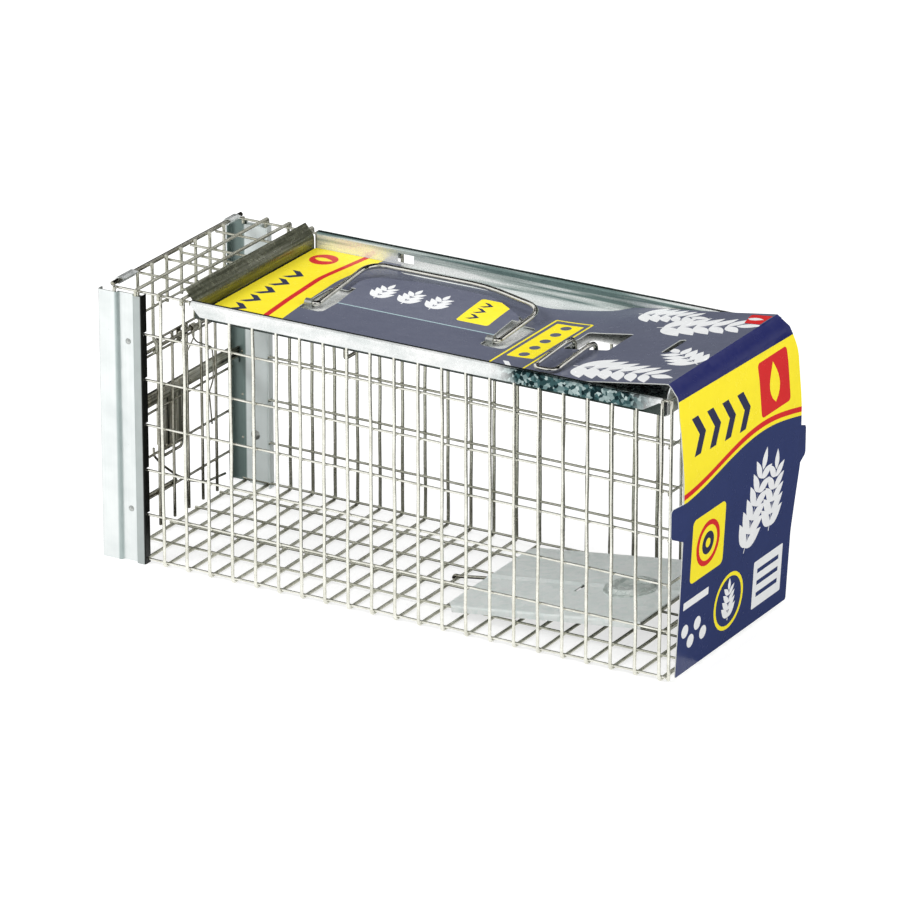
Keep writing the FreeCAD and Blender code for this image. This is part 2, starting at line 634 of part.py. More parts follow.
def pull_wire():
    """Wire across the outside of the door, hooked over the middle row and the last upright."""
    x = DOOR_ROW_X - LINE_R - PULL_WIRE_D / 2
    start = vec(x, PULL_WIRE_Y[0], DOOR_ROWS[1] + 2 * PULL_WIRE_D)
    bends = [vec(x, y, z) for y, z in zip(PULL_WIRE_Y, PULL_WIRE_Z)]
    end = vec(x, DOOR_HALF - DOOR_WIRE_D, PULL_WIRE_Z[-1] - DOOR_WIRE_D)
    return bent_wire([start, *bends, end], [0, *PULL_WIRE_BENDS, 0], PULL_WIRE_D)


# ---- Lock bar ----
def bar_back():
    return DOOR_ROW_X - LINE_R - BAR_CLEARANCE


def lock_bar():
    """Folded angle that rides in the guide channels in front of the door."""
    x1 = bar_back()
    x0 = x1 - BAR_DEPTH
    reach = UPRIGHT_Y + WIRE_R - BAR_END_GAP
    half = BAR_SHEET / 2
    path = [(x0, BAR_Z + half, 0), (x1 - half, BAR_Z + half, 1.2), (x1 - half, BAR_Z + BAR_HEIGHT, 0)]
    bar = folded_sheet(path, BAR_SHEET, "y", -reach, reach)
    bead = folded_sheet([(x1 - half, BAR_Z + BAR_HEIGHT - 0.01, 0), (x1 - half, BAR_Z + BAR_HEIGHT + 1.0, 0.8),
                         (x1 - 2.4, BAR_Z + BAR_HEIGHT + 1.0, 0)], BAR_SHEET, "y", -reach + 8, reach - 8)
    return bar.fuse(bead).removeSplitter()


def latch_plate():
    """Finger plate under the lock bar: a shallow channel with a curled lower edge."""
    front = bar_back() - BAR_SHEET - TOUCH_GAP
    half = BAR_SHEET / 2
    w = PLATE_WIDTH / 2
    depth = PLATE_FLANGE
    profile = [(front - depth, -w + half, 0), (front - half, -w + half, 1.2),
               (front - half, w - half, 1.2), (front - depth, w - half, 0)]
    top = BAR_Z - TOUCH_GAP
    bottom = BAR_Z - PLATE_DROP + 6.0
    channel = folded_sheet(profile, BAR_SHEET, "z", bottom, top)
    tongue = box(front - BAR_SHEET, front, -w + 3, w - 3, top - 0.01, top + TOUCH_GAP)
    reach = STIRRUP_WIDTH / 2 - STIRRUP_D / 2 - FIT_GAP
    low = bottom - CURL_DROP
    curl = folded_sheet([(front - half, bottom + 0.01, 0), (front - half, low, 1.3),
                         (front - depth + half, low, 1.3), (front - depth + half, low + 2.2, 0)],
                        BAR_SHEET, "y", -reach, reach)
    return channel.fuse([tongue, curl]).removeSplitter()


def stirrup():
    """Wire loop hung from the curl of the finger plate by its turned-in ends."""
    front = bar_back() - BAR_SHEET - TOUCH_GAP
    x = front - PLATE_FLANGE / 2
    z = BAR_Z - PLATE_DROP + 6.0 - CURL_DROP + BAR_SHEET / 2 + STIRRUP_D / 2 + FIT_GAP
    w = STIRRUP_WIDTH / 2
    points = [vec(x, -w + 4.0, z), vec(x, -w, z), vec(x, -w, z - STIRRUP_DROP), vec(x, w, z - STIRRUP_DROP),
              vec(x, w, z), vec(x, w - 4.0, z)]
    return bent_wire(points, [0, 1.2, 2.4, 2.4, 1.2, 0], STIRRUP_D)


# ---- Cover ----
def cover_section():
    """Cross-section of the cover: sunk tray, rails over the wall tops, skirts outside."""
    half = COVER_SHEET / 2
    skirt = SKIRT_Y + half
    wall = RAIL_WALL_Y - half
    top = RAIL_TOP - half
    low = RAIL_TOP - RAIL_SKIRT
    floor = TRAY_TOP - half
    near = [(-skirt, low, 0), (-skirt, top, 1.4), (-wall, top, 1.4), (-wall, floor, 1.2)]
    far = [(-y, z, r) for y, z, r in reversed(near)]
    return near + far


def skirt_corners():
    """What is cut off the two ends of the near skirt."""
    low = RAIL_TOP - RAIL_SKIRT - 1.0
    high = RAIL_TOP - 2.4
    corners = []
    for end, length, inward in ((COVER_X1, SKIRT_CUT[0], -1), (COVER_X0, SKIRT_CUT[1], 1)):
        outline = [(end - inward, low, 0), (end + inward * length, low, 0), (end + inward, high, 0),
                   (end - inward, high, 0)]
        corners.append(prism(outline, "y", -SKIRT_Y - 3, -SKIRT_Y + FIT_GAP))
    return corners


def cover():
    """Sheet cover hooked over the side walls, with a curled front lip and a rear lip."""
    half = COVER_SHEET / 2
    tray = folded_sheet(cover_section(), COVER_SHEET, "x", COVER_X0 - half, COVER_X1)
    floor = TRAY_TOP - half
    y = RAIL_WALL_Y - COVER_SHEET - 1.0
    front = folded_sheet([(COVER_X0 + 3.0, floor, 0), (COVER_X0 - 1.0, floor, 0.9),
                          (COVER_X0 - 1.0, floor + COVER_LIP_RISE * 0.6, 7.0),
                          (COVER_X0 - 1.0 - COVER_LIP_LEAN, floor + COVER_LIP_RISE, 0)],
                         COVER_SHEET, "y", -y, y)
    rear = folded_sheet([(COVER_X1 - 3.0, floor, 0), (COVER_X1 + 1.0, floor, 0.9),
                         (COVER_X1 + 1.0, floor + REAR_LIP_RISE * 0.7, 4.0),
                         (COVER_X1 + 1.0 + REAR_LIP_LEAN, floor + REAR_LIP_RISE, 0)],
                        COVER_SHEET, "y", -y, y)
    shape = tray.fuse([front, rear])
    slot = prism([(TRAY_SLOT[0], TRAY_SLOT[2], 3), (TRAY_SLOT[1], TRAY_SLOT[2], 3),
                  (TRAY_SLOT[1], TRAY_SLOT[3], 3), (TRAY_SLOT[0], TRAY_SLOT[3], 3)],
                 "z", TRAY_TOP - 3, TRAY_TOP + 3)
    hole = box(RAIL_HOLE[0], RAIL_HOLE[1], RAIL_WALL_Y - 3, SKIRT_Y + 3,
               TRAY_TOP + RAIL_HOLE[2], TRAY_TOP + RAIL_HOLE[3])
    shape = shape.cut(slot).cut(hole)
    for corner in skirt_corners():
        shape = shape.cut(corner).cut(mirrored(corner))
    return shape.removeSplitter()


# ---- Card sleeve ----
def card():
    """Printed card laid in the tray and folded down over the rear."""
    half = CARD_T / 2
    back = CARD_X1 + half
    path = [(CARD_FRONT_X, CARD_Z + half, 0), (CARD_BEND_X, CARD_Z + half, CARD_BEND_R),
            (CARD_RIDGE_X, CARD_RIDGE_Z + half, 1.2),
            (CARD_RIDGE_X + CARD_BEVEL[0], CARD_RIDGE_Z - CARD_BEVEL[1], CARD_BEVEL_BENDS[0]),
            (back - CARD_BEVEL[2], CARD_RIDGE_Z - CARD_BEVEL[3], CARD_BEVEL_BENDS[1]),
            (back, CARD_BULGE_Z[1], CARD_BEVEL_BENDS[2]), (back, CARD_BULGE_Z[0], CARD_BEVEL_BENDS[3]),
            (REAR_X + WIRE_R + CARD_FOOT_GAP + half, CARD_BOTTOM, 0)]
    sheet = folded_sheet(path, CARD_T, "y", -CARD_BACK_HALF, CARD_BACK_HALF)
    trim = box(0, CARD_RIDGE_X - 2.0, CARD_HALF, CARD_HALF + CARD_BACK_HALF, CARD_Z - 5, CARD_RIDGE_Z + 5)
    sheet = sheet.cut(trim).cut(mirrored(trim)).cut(back_trim(CARD_RIDGE_NARROW[1], CARD_BACK_TAPER))
    sheet = sheet.cut(mirrored(back_trim(CARD_RIDGE_NARROW[0], 1.0)))
    for cut in card_cuts():
        sheet = sheet.cut(cut)
    return sheet.fuse([card_flap(), card_tab(), mirrored(card_tab())]).removeSplitter()


def back_trim(narrow, taper):
    """What the far edge of the back panel loses: drawn in at the ridge, tapered towards the ground."""
    edge = CARD_BACK_HALF
    out = edge + CARD_HALF
    top = CARD_RIDGE_Z + 5.0
    bends = CARD_EDGE_BENDS
    outline = [(out, top, 0), (edge - narrow, top, 0), (edge - narrow, CARD_RIDGE_Z - 3.0, bends[0]),
               (edge, CARD_RIDGE_Z - CARD_SHOULDER_DROP, bends[1]), (edge, CARD_TAB_Z[0] - 4.0, bends[2]),
               (edge - taper, CARD_TAB_Z[0] - CARD_TAPER_DROP, bends[3]), (edge - taper, CARD_BOTTOM - 3.0, 0),
               (out, CARD_BOTTOM - 3.0, 0)]
    return prism(outline, "x", CARD_RIDGE_X - 30.0, CARD_X1 + 10.0)


def card_cuts():
    """Openings of the card: handle windows and flap, loop slot, hang slot and finger notches."""
    low, high = CARD_Z - 4, CARD_RIDGE_Z + 6
    feet = [window(*foot_opening(x), 4.0, low, high) for x in (HANDLE_X0, HANDLE_X1)]
    loop = window(*CARD_SLOT, 2.0, low, high)
    hang = window(*HANG_SLOT, 1.5, low, high)
    mouth = prism(flap_outline(FIT_GAP + 2.0), "z", low, high)
    notch = prism(notch_outline(), "z", low, high)
    return feet + [loop, hang, mouth, notch, mirrored(notch)]


def foot_opening(pivot_x):
    """Edges of the opening round a foot of the handle: x from, x to, y from, y to."""
    x0 = pivot_x - HANDLE_PIN - 3 * FIT_GAP
    return x0, x0 + HANDLE_WINDOW, HANDLE_Y + HANDLE_WINDOW_Y[0], HANDLE_Y + HANDLE_WINDOW_Y[1]


def notch_outline():
    """Shallow finger notch in a long edge, deepest towards the rear."""
    x0, x1 = CARD_NOTCH_X
    place, run, rear_depth = CARD_NOTCH_DIP
    dip = x0 + (x1 - x0) * place
    step = CARD_HALF - CARD_NOTCH_STEP
    outside = CARD_HALF + 2.0
    bends = CARD_NOTCH_BENDS
    return [(x0, outside, 0), (x0 + 8.0, step, bends[0]), (dip - run, step, bends[1]),
            (dip, CARD_HALF - CARD_NOTCH_DEPTH, bends[2]), (x1 - 10.0, CARD_HALF - rear_depth, bends[3]),
            (x1, outside, 0)]


def window(x0, x1, y0, y1, radius, low, high):
    return prism([(x0, y0, radius), (x1, y0, radius), (x1, y1, radius), (x0, y1, radius)], "z", low, high)


def flap_outline(margin):
    """D-shaped tongue inside the handle."""
    x0 = HANDLE_X0 + FLAP_INSET[0] - margin
    x1 = HANDLE_X1 - FLAP_INSET[1] + margin
    y1 = HANDLE_Y + HANDLE_REACH - FLAP_INSET[2] + margin
    (front_y, front_x), (rear_y, rear_x) = FLAP_SLOPES
    bends = FLAP_BENDS
    return [(x0, FLAP_CREASE_Y, 0), (x0, y1 - front_y, bends[0]), (x0 + front_x, y1, bends[1]),
            (x1 - rear_x, y1, bends[2]), (x1, y1 - rear_y, bends[3]), (x1, FLAP_CREASE_Y, 0)]


def card_flap():
    """The tongue, sprung up a little from its crease."""
    flap = prism(flap_outline(0.0), "z", CARD_Z, CARD_Z + CARD_T)
    for pivot_x in (HANDLE_X0, HANDLE_X1):
        flap = flap.cut(box(*foot_opening(pivot_x), CARD_Z - 1, CARD_Z + 2))
    reach = HANDLE_REACH + HANDLE_Y - FLAP_INSET[2] - FLAP_CREASE_Y
    flap.rotate(vec(0, FLAP_CREASE_Y, CARD_Z), vec(1, 0, 0), math.degrees(math.atan2(FLAP_RISE, reach)))
    return flap


def card_tab():
    """Side tab that springs round the rear edge of the cage."""
    tab = prism([(-0.5, CARD_TAB_Z[0], 1), (CARD_TAB_LENGTH, CARD_TAB_Z[0] + 2, 3),
                 (CARD_TAB_LENGTH, CARD_TAB_Z[1] - 2, 3), (-0.5, CARD_TAB_Z[1], 1)], "x", 0, CARD_T)
    tab.rotate(vec(0, 0, 0), vec(0, 0, 1), CARD_TAB_FOLD)
    tab.translate(vec(CARD_X1 + 0.02, CARD_BACK_HALF, 0))
    return mirrored(tab)


# ---- Carry handle ----
def handle():
    """Wire bail with both ends turned the same way into their brackets."""
    y, z = HANDLE_Y, HANDLE_Z
    top = y + HANDLE_REACH
    points = [vec(HANDLE_X0 - HANDLE_PIN, y, z), vec(HANDLE_X0, y, z), vec(HANDLE_X0 - 2.0, top, z),
              vec(HANDLE_X1 - HANDLE_SLOPE[0], top, z), vec(HANDLE_X1 + 1.0, top - HANDLE_SLOPE[1], z),
              vec(HANDLE_X1, y, z), vec(HANDLE_X1 - HANDLE_PIN, y, z)]
    bail = bent_wire(points, [0, HANDLE_FOOT_BEND, *HANDLE_BENDS, HANDLE_FOOT_BEND, 0], HANDLE_D)
    bail.rotate(vec(0, y, z), vec(1, 0, 0), HANDLE_TILT)
    return bail


def handle_bracket(x_end):
    """Saddle on the tray floor that the turned end of the handle runs in."""
    x0 = x_end + BRACKET_INSET
    x1 = x0 + BRACKET_WIDTH
    bore_r = HANDLE_D / 2 + PIVOT_RUN
    outer_r = bore_r + BRACKET_WALL
    roll = Part.makeCylinder(outer_r, BRACKET_WIDTH, vec(x0, HANDLE_Y, HANDLE_Z), vec(1, 0, 0))
    legs = box(x0, x1, HANDLE_Y - outer_r, HANDLE_Y + outer_r, TRAY_TOP, HANDLE_Z)
    feet = box(x0, x1, HANDLE_Y - outer_r - BRACKET_FOOT, HANDLE_Y + outer_r + BRACKET_FOOT,
               TRAY_TOP, TRAY_TOP + BRACKET_WALL)
    bore = Part.makeCylinder(bore_r, BRACKET_WIDTH, vec(x0, HANDLE_Y, HANDLE_Z), vec(1, 0, 0))
    inside = box(x0, x1, HANDLE_Y - bore_r, HANDLE_Y + bore_r, TRAY_TOP, HANDLE_Z)
    below = box(x0, x1, HANDLE_Y - 2 * outer_r, HANDLE_Y + 2 * outer_r, TRAY_TOP - 3 * outer_r, TRAY_TOP)
    return roll.fuse([legs, feet]).cut(bore).cut(inside).cut(below).removeSplitter()


def bracket_rivets():
    heads = []
    offset = HANDLE_D / 2 + PIVOT_RUN + BRACKET_WALL + BRACKET_FOOT / 2
    for pivot_x in (HANDLE_X0, HANDLE_X1):
        x = pivot_x - HANDLE_PIN + BRACKET_INSET + BRACKET_WIDTH / 2
        for side in (-1, 1):
            base = vec(x, HANDLE_Y + side * offset, TRAY_TOP + BRACKET_WALL)
            heads.append(dome(1.7, 0.9, base, vec(0, 0, 1)))
    return solids(heads)


# ---- Setting loop ----
def setting_loop():
    """Narrow wire loop that lies on the card and drops through the slot to its pivot."""
    y, z = LOOP_Y, LOOP_Z
    end = y - LOOP_REACH
    points = []
    for x, out in ((LOOP_X[0], -1), (LOOP_X[1], 1)):
        side = [vec(x + out * LOOP_PIN, y, z), vec(x, y, z), vec(x, y, z + LOOP_HUMP),
                vec(x, y - 12.0, z + LOOP_HUMP + 0.5), vec(x, end, z + LOOP_END_RISE)]
        points = points + (side if out < 0 else side[::-1])
    radii = [0, 2.4, 5.0, 8.0, 5.5, 5.5, 8.0, 5.0, 2.4, 0]
    return bent_wire(points, radii, LOOP_D)


def loop_bracket(x0):
    """Strap under the tray that one turned end of the loop runs in."""
    bore_r = LOOP_D / 2 + PIVOT_RUN
    outer_r = bore_r + BRACKET_WALL
    width = BRACKET_WIDTH - 1.0
    under = TRAY_TOP - COVER_SHEET
    roll = Part.makeCylinder(outer_r, width, vec(x0, LOOP_Y, LOOP_Z), vec(1, 0, 0))
    legs = box(x0, x0 + width, LOOP_Y - outer_r, LOOP_Y + outer_r, LOOP_Z, under)
    bore = Part.makeCylinder(bore_r, width, vec(x0, LOOP_Y, LOOP_Z), vec(1, 0, 0))
    return roll.fuse(legs).cut(bore).removeSplitter()


def loop_brackets():
    width = BRACKET_WIDTH - 1.0
    return solids([loop_bracket(LOOP_X[0] - LOOP_PIN), loop_bracket(LOOP_X[1] + LOOP_PIN - width)])


# ---- Treadle and trip ----
def on_treadle(shape):
    """Tilt a piece drawn flat over the treadle about its front edge."""
    shape.rotate(vec(TREADLE_X0, 0, TREADLE_FRONT_Z), vec(0, 1, 0), -TREADLE_TILT)
    return shape


def treadle_plate():
    """Sheet treadle with turned-down side lips, a pressed centre rib and a slot."""
    z = TREADLE_FRONT_Z
    x1 = TREADLE_X0 + TREADLE_LENGTH
    w = TREADLE_HALF
    half = TREADLE_SHEET / 2
    section = [(-w, z - TREADLE_LIP, 0), (-w, z, 1.2), (-4.0, z, 1.0), (0.0, z + 1.2, 1.0), (4.0, z, 1.0),
               (w, z, 1.2), (w, z - TREADLE_LIP, 0)]
    plate = folded_sheet(section, TREADLE_SHEET, "x", TREADLE_X0, x1)
    x0, x1, y0, y1 = TREADLE_SLOT
    slot = window(TREADLE_X0 + x0, TREADLE_X0 + x1, y0, y1, 0.7, z - 3, z + 3)
    hole = Part.makeCylinder(DISH_R - 2.0, 6, vec(DISH_X, 0, z - 3))
    seat = Part.makeCylinder(DISH_R + 2.4, 6, vec(DISH_X, 0, z + half + 0.01))
    plate = plate.cut(slot).cut(hole).cut(seat)
    corner = prism([(TREADLE_X0 - 1, w + 1, 0), (TREADLE_X0 + 5, w + 1, 0), (TREADLE_X0 - 1, w - 6, 0)],
                   "z", z - 6, z + 3)
    plate = plate.cut(corner).cut(mirrored(corner))
    return on_treadle(plate.removeSplitter())


def bait_dish():
    """Round pressed bait dish with a raised ring, seated on the treadle."""
    z = TREADLE_FRONT_Z + TREADLE_SHEET / 2 + 0.4
    section = [(0.0, z + 0.6), (DISH_R - 6.5, z + 0.6), (DISH_R - 5.0, z + DISH_H), (DISH_R - 2.5, z + DISH_H),
               (DISH_R - 0.8, z), (DISH_R + 2.0, z)]
    outline = ribbon(section, DISH_SHEET)
    face = Part.Face(Part.Wire(rounded_edges([vec(p[0], 0, p[1]) for p in outline], [0] * len(outline), True)))
    dish = face.revolve(vec(0, 0, 0), vec(0, 0, 1), 360)
    dish.translate(vec(DISH_X, 0, 0))
    return on_treadle(dish)


def treadle_rod_z(x):
    """Axis of the wire that runs under the treadle."""
    tilt = math.radians(TREADLE_TILT)
    under = TREADLE_SHEET / 2 + TREADLE_ROD_D / 2 + TOUCH_GAP
    return TREADLE_FRONT_Z + (x - TREADLE_X0) * math.tan(tilt) - under / math.cos(tilt)


def treadle_rod():
    """Wire fixed under the treadle, hooked round a floor wire in front and free behind it."""
    hook = WIRE_R + TREADLE_ROD_D / 2 + TOUCH_GAP
    px, pz = TREADLE_PIVOT_X, TREADLE_PIVOT_Z
    bend_x = TREADLE_X0 - 6.0
    rear_x = LINK_X + 5.0
    points = [vec(px - hook, 0, pz - 0.2), vec(px - hook, 0, pz + hook), vec(px + hook + 1.0, 0, pz + hook),
              vec(bend_x, 0, treadle_rod_z(bend_x)), vec(rear_x, 0, treadle_rod_z(rear_x))]
    return bent_wire(points, [0, hook - 0.1, 3.0, 6.0, 0], TREADLE_ROD_D)


def trip_link():
    """Upright wire: hooked under the treadle wire below, pinned to the crank above."""
    low = treadle_rod_z(LINK_X)
    bottom = low - TREADLE_ROD_D / 2 - LINK_D / 2 - FIT_GAP
    side = LINK_HOOK_R
    points = [vec(LINK_X, side, low + 2.0), vec(LINK_X, side, bottom), vec(LINK_X, -side, bottom),
              vec(LINK_X, -side, low + 5.0), vec(LINK_X, 0, low + 11.0), vec(LINK_X, 0, LINK_TOP),
              vec(LINK_X, CRANK_Y + CRANK_SHEET + 0.2, LINK_TOP)]
    return bent_wire(points, [0, 2.4, 2.4, 3.0, 3.0, 1.2, 0], LINK_D)


def crank():
    """Bell crank cut from sheet: a slot for the link, a fork for the trip rod and a pivot hole."""
    y0, y1 = CRANK_Y, CRANK_Y + CRANK_SHEET
    arm, rise = CRANK_ARM, CRANK_RISE
    outline = [(-3.6, -3.6, 3.4), (arm + 4.2, -3.4, 3.0), (arm + 4.2, 3.4, 3.0), (3.8, 3.4, 1.2),
               (3.8, rise + 2.6, 1.2), (-3.8, rise + 2.6, 1.2)]
    plate = prism(outline, "y", y0, y1)
    pivot = Part.makeCylinder(CRANK_PIN_D / 2 + PIVOT_RUN, 10, vec(0, y0 - 5, 0), vec(0, 1, 0))
    slot_r = LINK_D / 2 + FIT_GAP
    slot = prism([(arm - slot_r - 0.5, -slot_r, slot_r - 0.01), (arm + slot_r + 0.5, -slot_r, slot_r - 0.01),
                  (arm + slot_r + 0.5, slot_r, slot_r - 0.01), (arm - slot_r - 0.5, slot_r, slot_r - 0.01)],
                 "y", y0 - 1, y1 + 1)
    fork_r = TRIP_ROD_D / 2 + FIT_GAP
    fork = box(-fork_r, fork_r, y0 - 1, y1 + 1, rise - fork_r - 0.3, rise + 5)
    plate = plate.cut(pivot).cut(slot).cut(fork)
    plate.rotate(vec(0, 0, 0), vec(0, 1, 0), -CRANK_SWING)
    plate.translate(vec(CRANK_X, 0, CRANK_Z))
    return plate


def crank_hanger():
    """Folded tab under the tray that carries the crank."""
    y0 = CRANK_Y + CRANK_SHEET + 0.5
    under = TRAY_TOP - COVER_SHEET
    cheek = prism([(CRANK_X - 7.0, under - 1.0, 0), (CRANK_X - 3.6, CRANK_Z - 4.0, 3.0),
                   (CRANK_X + 3.6, CRANK_Z - 4.0, 3.0), (CRANK_X + 7.0, under - 1.0, 0)], "y", y0, y0 + 1.0)
    foot = box(CRANK_X - 7.0, CRANK_X + 7.0, y0, y0 + 9.0, under - 1.0, under)
    hole = Part.makeCylinder(CRANK_PIN_D / 2 + TOUCH_GAP, 10, vec(CRANK_X, y0 - 5, CRANK_Z), vec(0, 1, 0))
    return cheek.fuse(foot).cut(hole).removeSplitter()


def crank_pin():
    """Rivet that the crank turns on."""
    near = CRANK_Y - TOUCH_GAP
    far = CRANK_Y + CRANK_SHEET + 1.5
    shank = rod(vec(CRANK_X, near - 0.01, CRANK_Z), vec(CRANK_X, far + 0.01, CRANK_Z), CRANK_PIN_D)
    head = dome(2.6, 1.0, vec(CRANK_X, near, CRANK_Z), vec(0, -1, 0))
    tail = dome(2.4, 0.9, vec(CRANK_X, far, CRANK_Z), vec(0, 1, 0))
    return shank.fuse([head, tail]).removeSplitter()


def trip_rod():
    """Long wire under the tray; its hooked front end holds up the raised door."""
    points = [vec(TRIP_HOOK_X, TRIP_HOOK_REACH, TRIP_HOOK_Z), vec(TRIP_HOOK_X, 0, TRIP_HOOK_Z),
              vec(TRIP_HOOK_X, 0, TRIP_Z), vec(TRIP_REAR_X, 0, TRIP_Z),
              vec(TRIP_REAR_X, CRANK_Y + CRANK_SHEET + 0.2, TRIP_Z)]
    return bent_wire(points, [0, 2.0, 3.0, 1.3, 0], TRIP_ROD_D)


def trip_guide(x):
    """Rolled clip that the trip rod slides in, hung from the tray."""
    inner = TRIP_ROD_D / 2 + TRIP_RUN
    outer = inner + CLIP_WALL
    low, high = x - CLIP_WIDTH / 2, x + CLIP_WIDTH / 2
    under = TRAY_TOP - COVER_SHEET
    roll = Part.makeCylinder(outer, CLIP_WIDTH, vec(low, 0, TRIP_Z), vec(1, 0, 0))
    web = box(low, high, inner, outer, TRIP_Z, under)
    foot = box(low, high, inner, inner + 7.0, under - CLIP_WALL, under)
    bore = Part.makeCylinder(inner, CLIP_WIDTH, vec(low, 0, TRIP_Z), vec(1, 0, 0))
    return roll.fuse([web, foot]).cut(bore).removeSplitter()


def main():
    os.makedirs("parts", exist_ok=True)
    save("near_side_mesh", side_mesh(near_rows()))
    save("far_side_mesh", mirrored(side_mesh(far_rows())))
    save("floor_mesh", floor_mesh())
    save("rear_panel_mesh", rear_panel())
    save("roof_mesh", roof_mesh())
    save("front_top_rod", front_rod())
    save("front_rod_clips", rod_clips())
    save("header_mesh", header())
    save("hinge_rod", hinge_rod())
    save("near_guide_strip", guide_strip(near_rows()))
    save("far_guide_strip", mirrored(guide_strip(far_rows())))
    save("near_backing_strip", backing_strip())
    save("far_backing_strip", mirrored(backing_strip()))
    rivets = [strip_rivet(z) for z in RIVET_Z]
    save("strip_rivets", solids(rivets + [mirrored(r) for r in rivets]))
    save("door_mesh", door_mesh())
    save("hinge_clips", hinge_clips())
    save("door_spring", door_spring())
    save("door_pull_wire", pull_wire())
    save("lock_bar", lock_bar())
    save("latch_plate", latch_plate())
    save("latch_stirrup", stirrup())
    save("top_cover", cover())
    save("card_sleeve", card())
    save("carry_handle", handle())
    save("front_handle_bracket", handle_bracket(HANDLE_X0 - HANDLE_PIN))
    save("rear_handle_bracket", handle_bracket(HANDLE_X1 - HANDLE_PIN))
    save("bracket_rivets", bracket_rivets())
    save("setting_loop", setting_loop())
    save("loop_brackets", loop_brackets())
    save("treadle_plate", treadle_plate())
    save("bait_dish", bait_dish())
    save("treadle_rod", treadle_rod())
    save("trip_link", trip_link())
    save("bell_crank", crank())
    save("crank_hanger", crank_hanger())
    save("crank_pin", crank_pin())
    save("trip_rod", trip_rod())
    save("trip_rod_guides", solids([trip_guide(x) for x in TRIP_GUIDE_X]))


main()
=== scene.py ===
import bpy
from math import copysign, cos, degrees, pi, radians, sin, tan
from mathutils import Matrix, Vector
from mathutils.geometry import delaunay_2d_cdt

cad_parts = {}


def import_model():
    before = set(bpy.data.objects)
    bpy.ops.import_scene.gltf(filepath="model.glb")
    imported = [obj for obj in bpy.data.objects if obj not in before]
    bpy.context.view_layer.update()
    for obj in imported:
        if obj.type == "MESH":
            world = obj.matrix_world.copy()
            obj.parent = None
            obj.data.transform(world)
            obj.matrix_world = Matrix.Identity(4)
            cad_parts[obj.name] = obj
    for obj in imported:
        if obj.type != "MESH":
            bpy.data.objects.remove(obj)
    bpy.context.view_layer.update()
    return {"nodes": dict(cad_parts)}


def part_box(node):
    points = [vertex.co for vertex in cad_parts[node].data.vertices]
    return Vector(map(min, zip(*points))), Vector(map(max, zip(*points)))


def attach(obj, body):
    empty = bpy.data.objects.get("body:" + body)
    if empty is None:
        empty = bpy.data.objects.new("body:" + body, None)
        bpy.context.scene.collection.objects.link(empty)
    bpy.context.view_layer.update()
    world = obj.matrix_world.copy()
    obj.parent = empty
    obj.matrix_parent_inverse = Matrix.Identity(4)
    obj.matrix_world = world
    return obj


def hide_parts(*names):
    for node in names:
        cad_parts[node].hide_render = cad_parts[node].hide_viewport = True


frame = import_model()

# ---- Sizes of the trap, in millimetres ----
# X runs from the first upright of the walls to the rear, Y from the middle of the cage
# (the near side is negative) and Z from the ground.
MM = 0.001  # a millimetre in metres
UPRIGHT_R = 1.1  # wires that run up the walls and across the floor
LINE_R = 0.8  # wires that run along the cage
PITCH = 17.0  # spacing of the uprights
ROW = 30.0  # spacing of the long wires
BAYS = 23
ROWS_WIDE = 5
ROWS_HIGH = 6
NEAR_ROW_EXTRA = 0.4  # added to the spacing on the near wall
FAR_ROW_DROP = 1.5  # rows of the far wall lie lower
ROOF_BAYS = (1, 2, 3)  # uprights with a cross wire on the roof
ROOF_LINES = (-45, -15, 0, 15, 45)
ROOF_HOOK = 3.8  # depth of the cross wires' turned-down ends
REAR_GAP = 5.5  # from the last upright to the rear panel
REAR_WIRES = 10
WIRE_GAP = 0.05  # between wires that lie against each other
UNEVEN = 0.02  # a bent wire's radius strays by this share
LYING_WELD = (1.4, 1.2, 0.9)
STANDING_WELD = (0.9, 1.3, 1.2)
HALF = ROWS_WIDE * ROW / 2
UPRIGHT_Y = HALF + UPRIGHT_R
LINE_Y = HALF - LINE_R
FLOOR_LINE_Z = 2 * UPRIGHT_R + LINE_R
ROOF_LINE_Z = FLOOR_LINE_Z + ROWS_HIGH * ROW
ROOF_TOP = ROOF_LINE_Z + LINE_R
UPRIGHT_TOP = ROOF_TOP - 0.1
BAY_XS = [bay * PITCH for bay in range(BAYS + 1)]
REAR_X = BAYS * PITCH + REAR_GAP
HINGE_X, HINGE_Z, HINGE_R = 0.9, 128.4, 1.2
FRONT_ROD_X, FRONT_ROD_R = -1.7, 1.5
FRONT_ROD_Z = ROOF_TOP + FRONT_ROD_R
HEADER_WIRES = 7
HANGERS = (1, 4)  # header wires with hooks
HEADER_BOTTOM, HEADER_ROW_Z = 155.0, 158.0
DOOR_X, DOOR_R = -1.5, 1.0
DOOR_BOTTOM, DOOR_TOP = 4.4, 131.7
DOOR_WIRES = 8
DOOR_ROWS = (25.8, 54.2, 83.6, 122.4, 130.7)
DOOR_ROW_X = DOOR_X - DOOR_R - LINE_R
DOOR_ROW_OVERHANG = 6.0  # row wires past the outermost door wires
DOOR_HALF = (DOOR_WIRES - 1) * PITCH / 2
DOUBLER_R = 1.2  # short wire that doubles the lowest row
DOUBLER_Y = (-43.0, -3.0)
PULL_WIRE_R = 0.8
SPRING_R = 0.5
SPRING_TURNS = 3.5
SPRING_STEPS = 84
SPRING_LEAD = 1.2  # from one turn to the next
SPRING_PLAY = 0.4  # between the coil and the hinge bar
SPRING_Y = 10.3  # start of the coil
STIRRUP_R = 1.0
TRAY_TOP = 172.42
HANDLE_X0, HANDLE_X1, HANDLE_Y, HANDLE_Z = 114.5, 245.5, -20.0, 175.47
HANDLE_R = 1.75
HANDLE_REACH = 68.6
HANDLE_PIN = 9.0
HANDLE_TILT = 4.6  # degrees, where it rests on the card
LOOP_X0, LOOP_X1, LOOP_Y, LOOP_Z = 293.0, 308.0, -9.0, 168.22
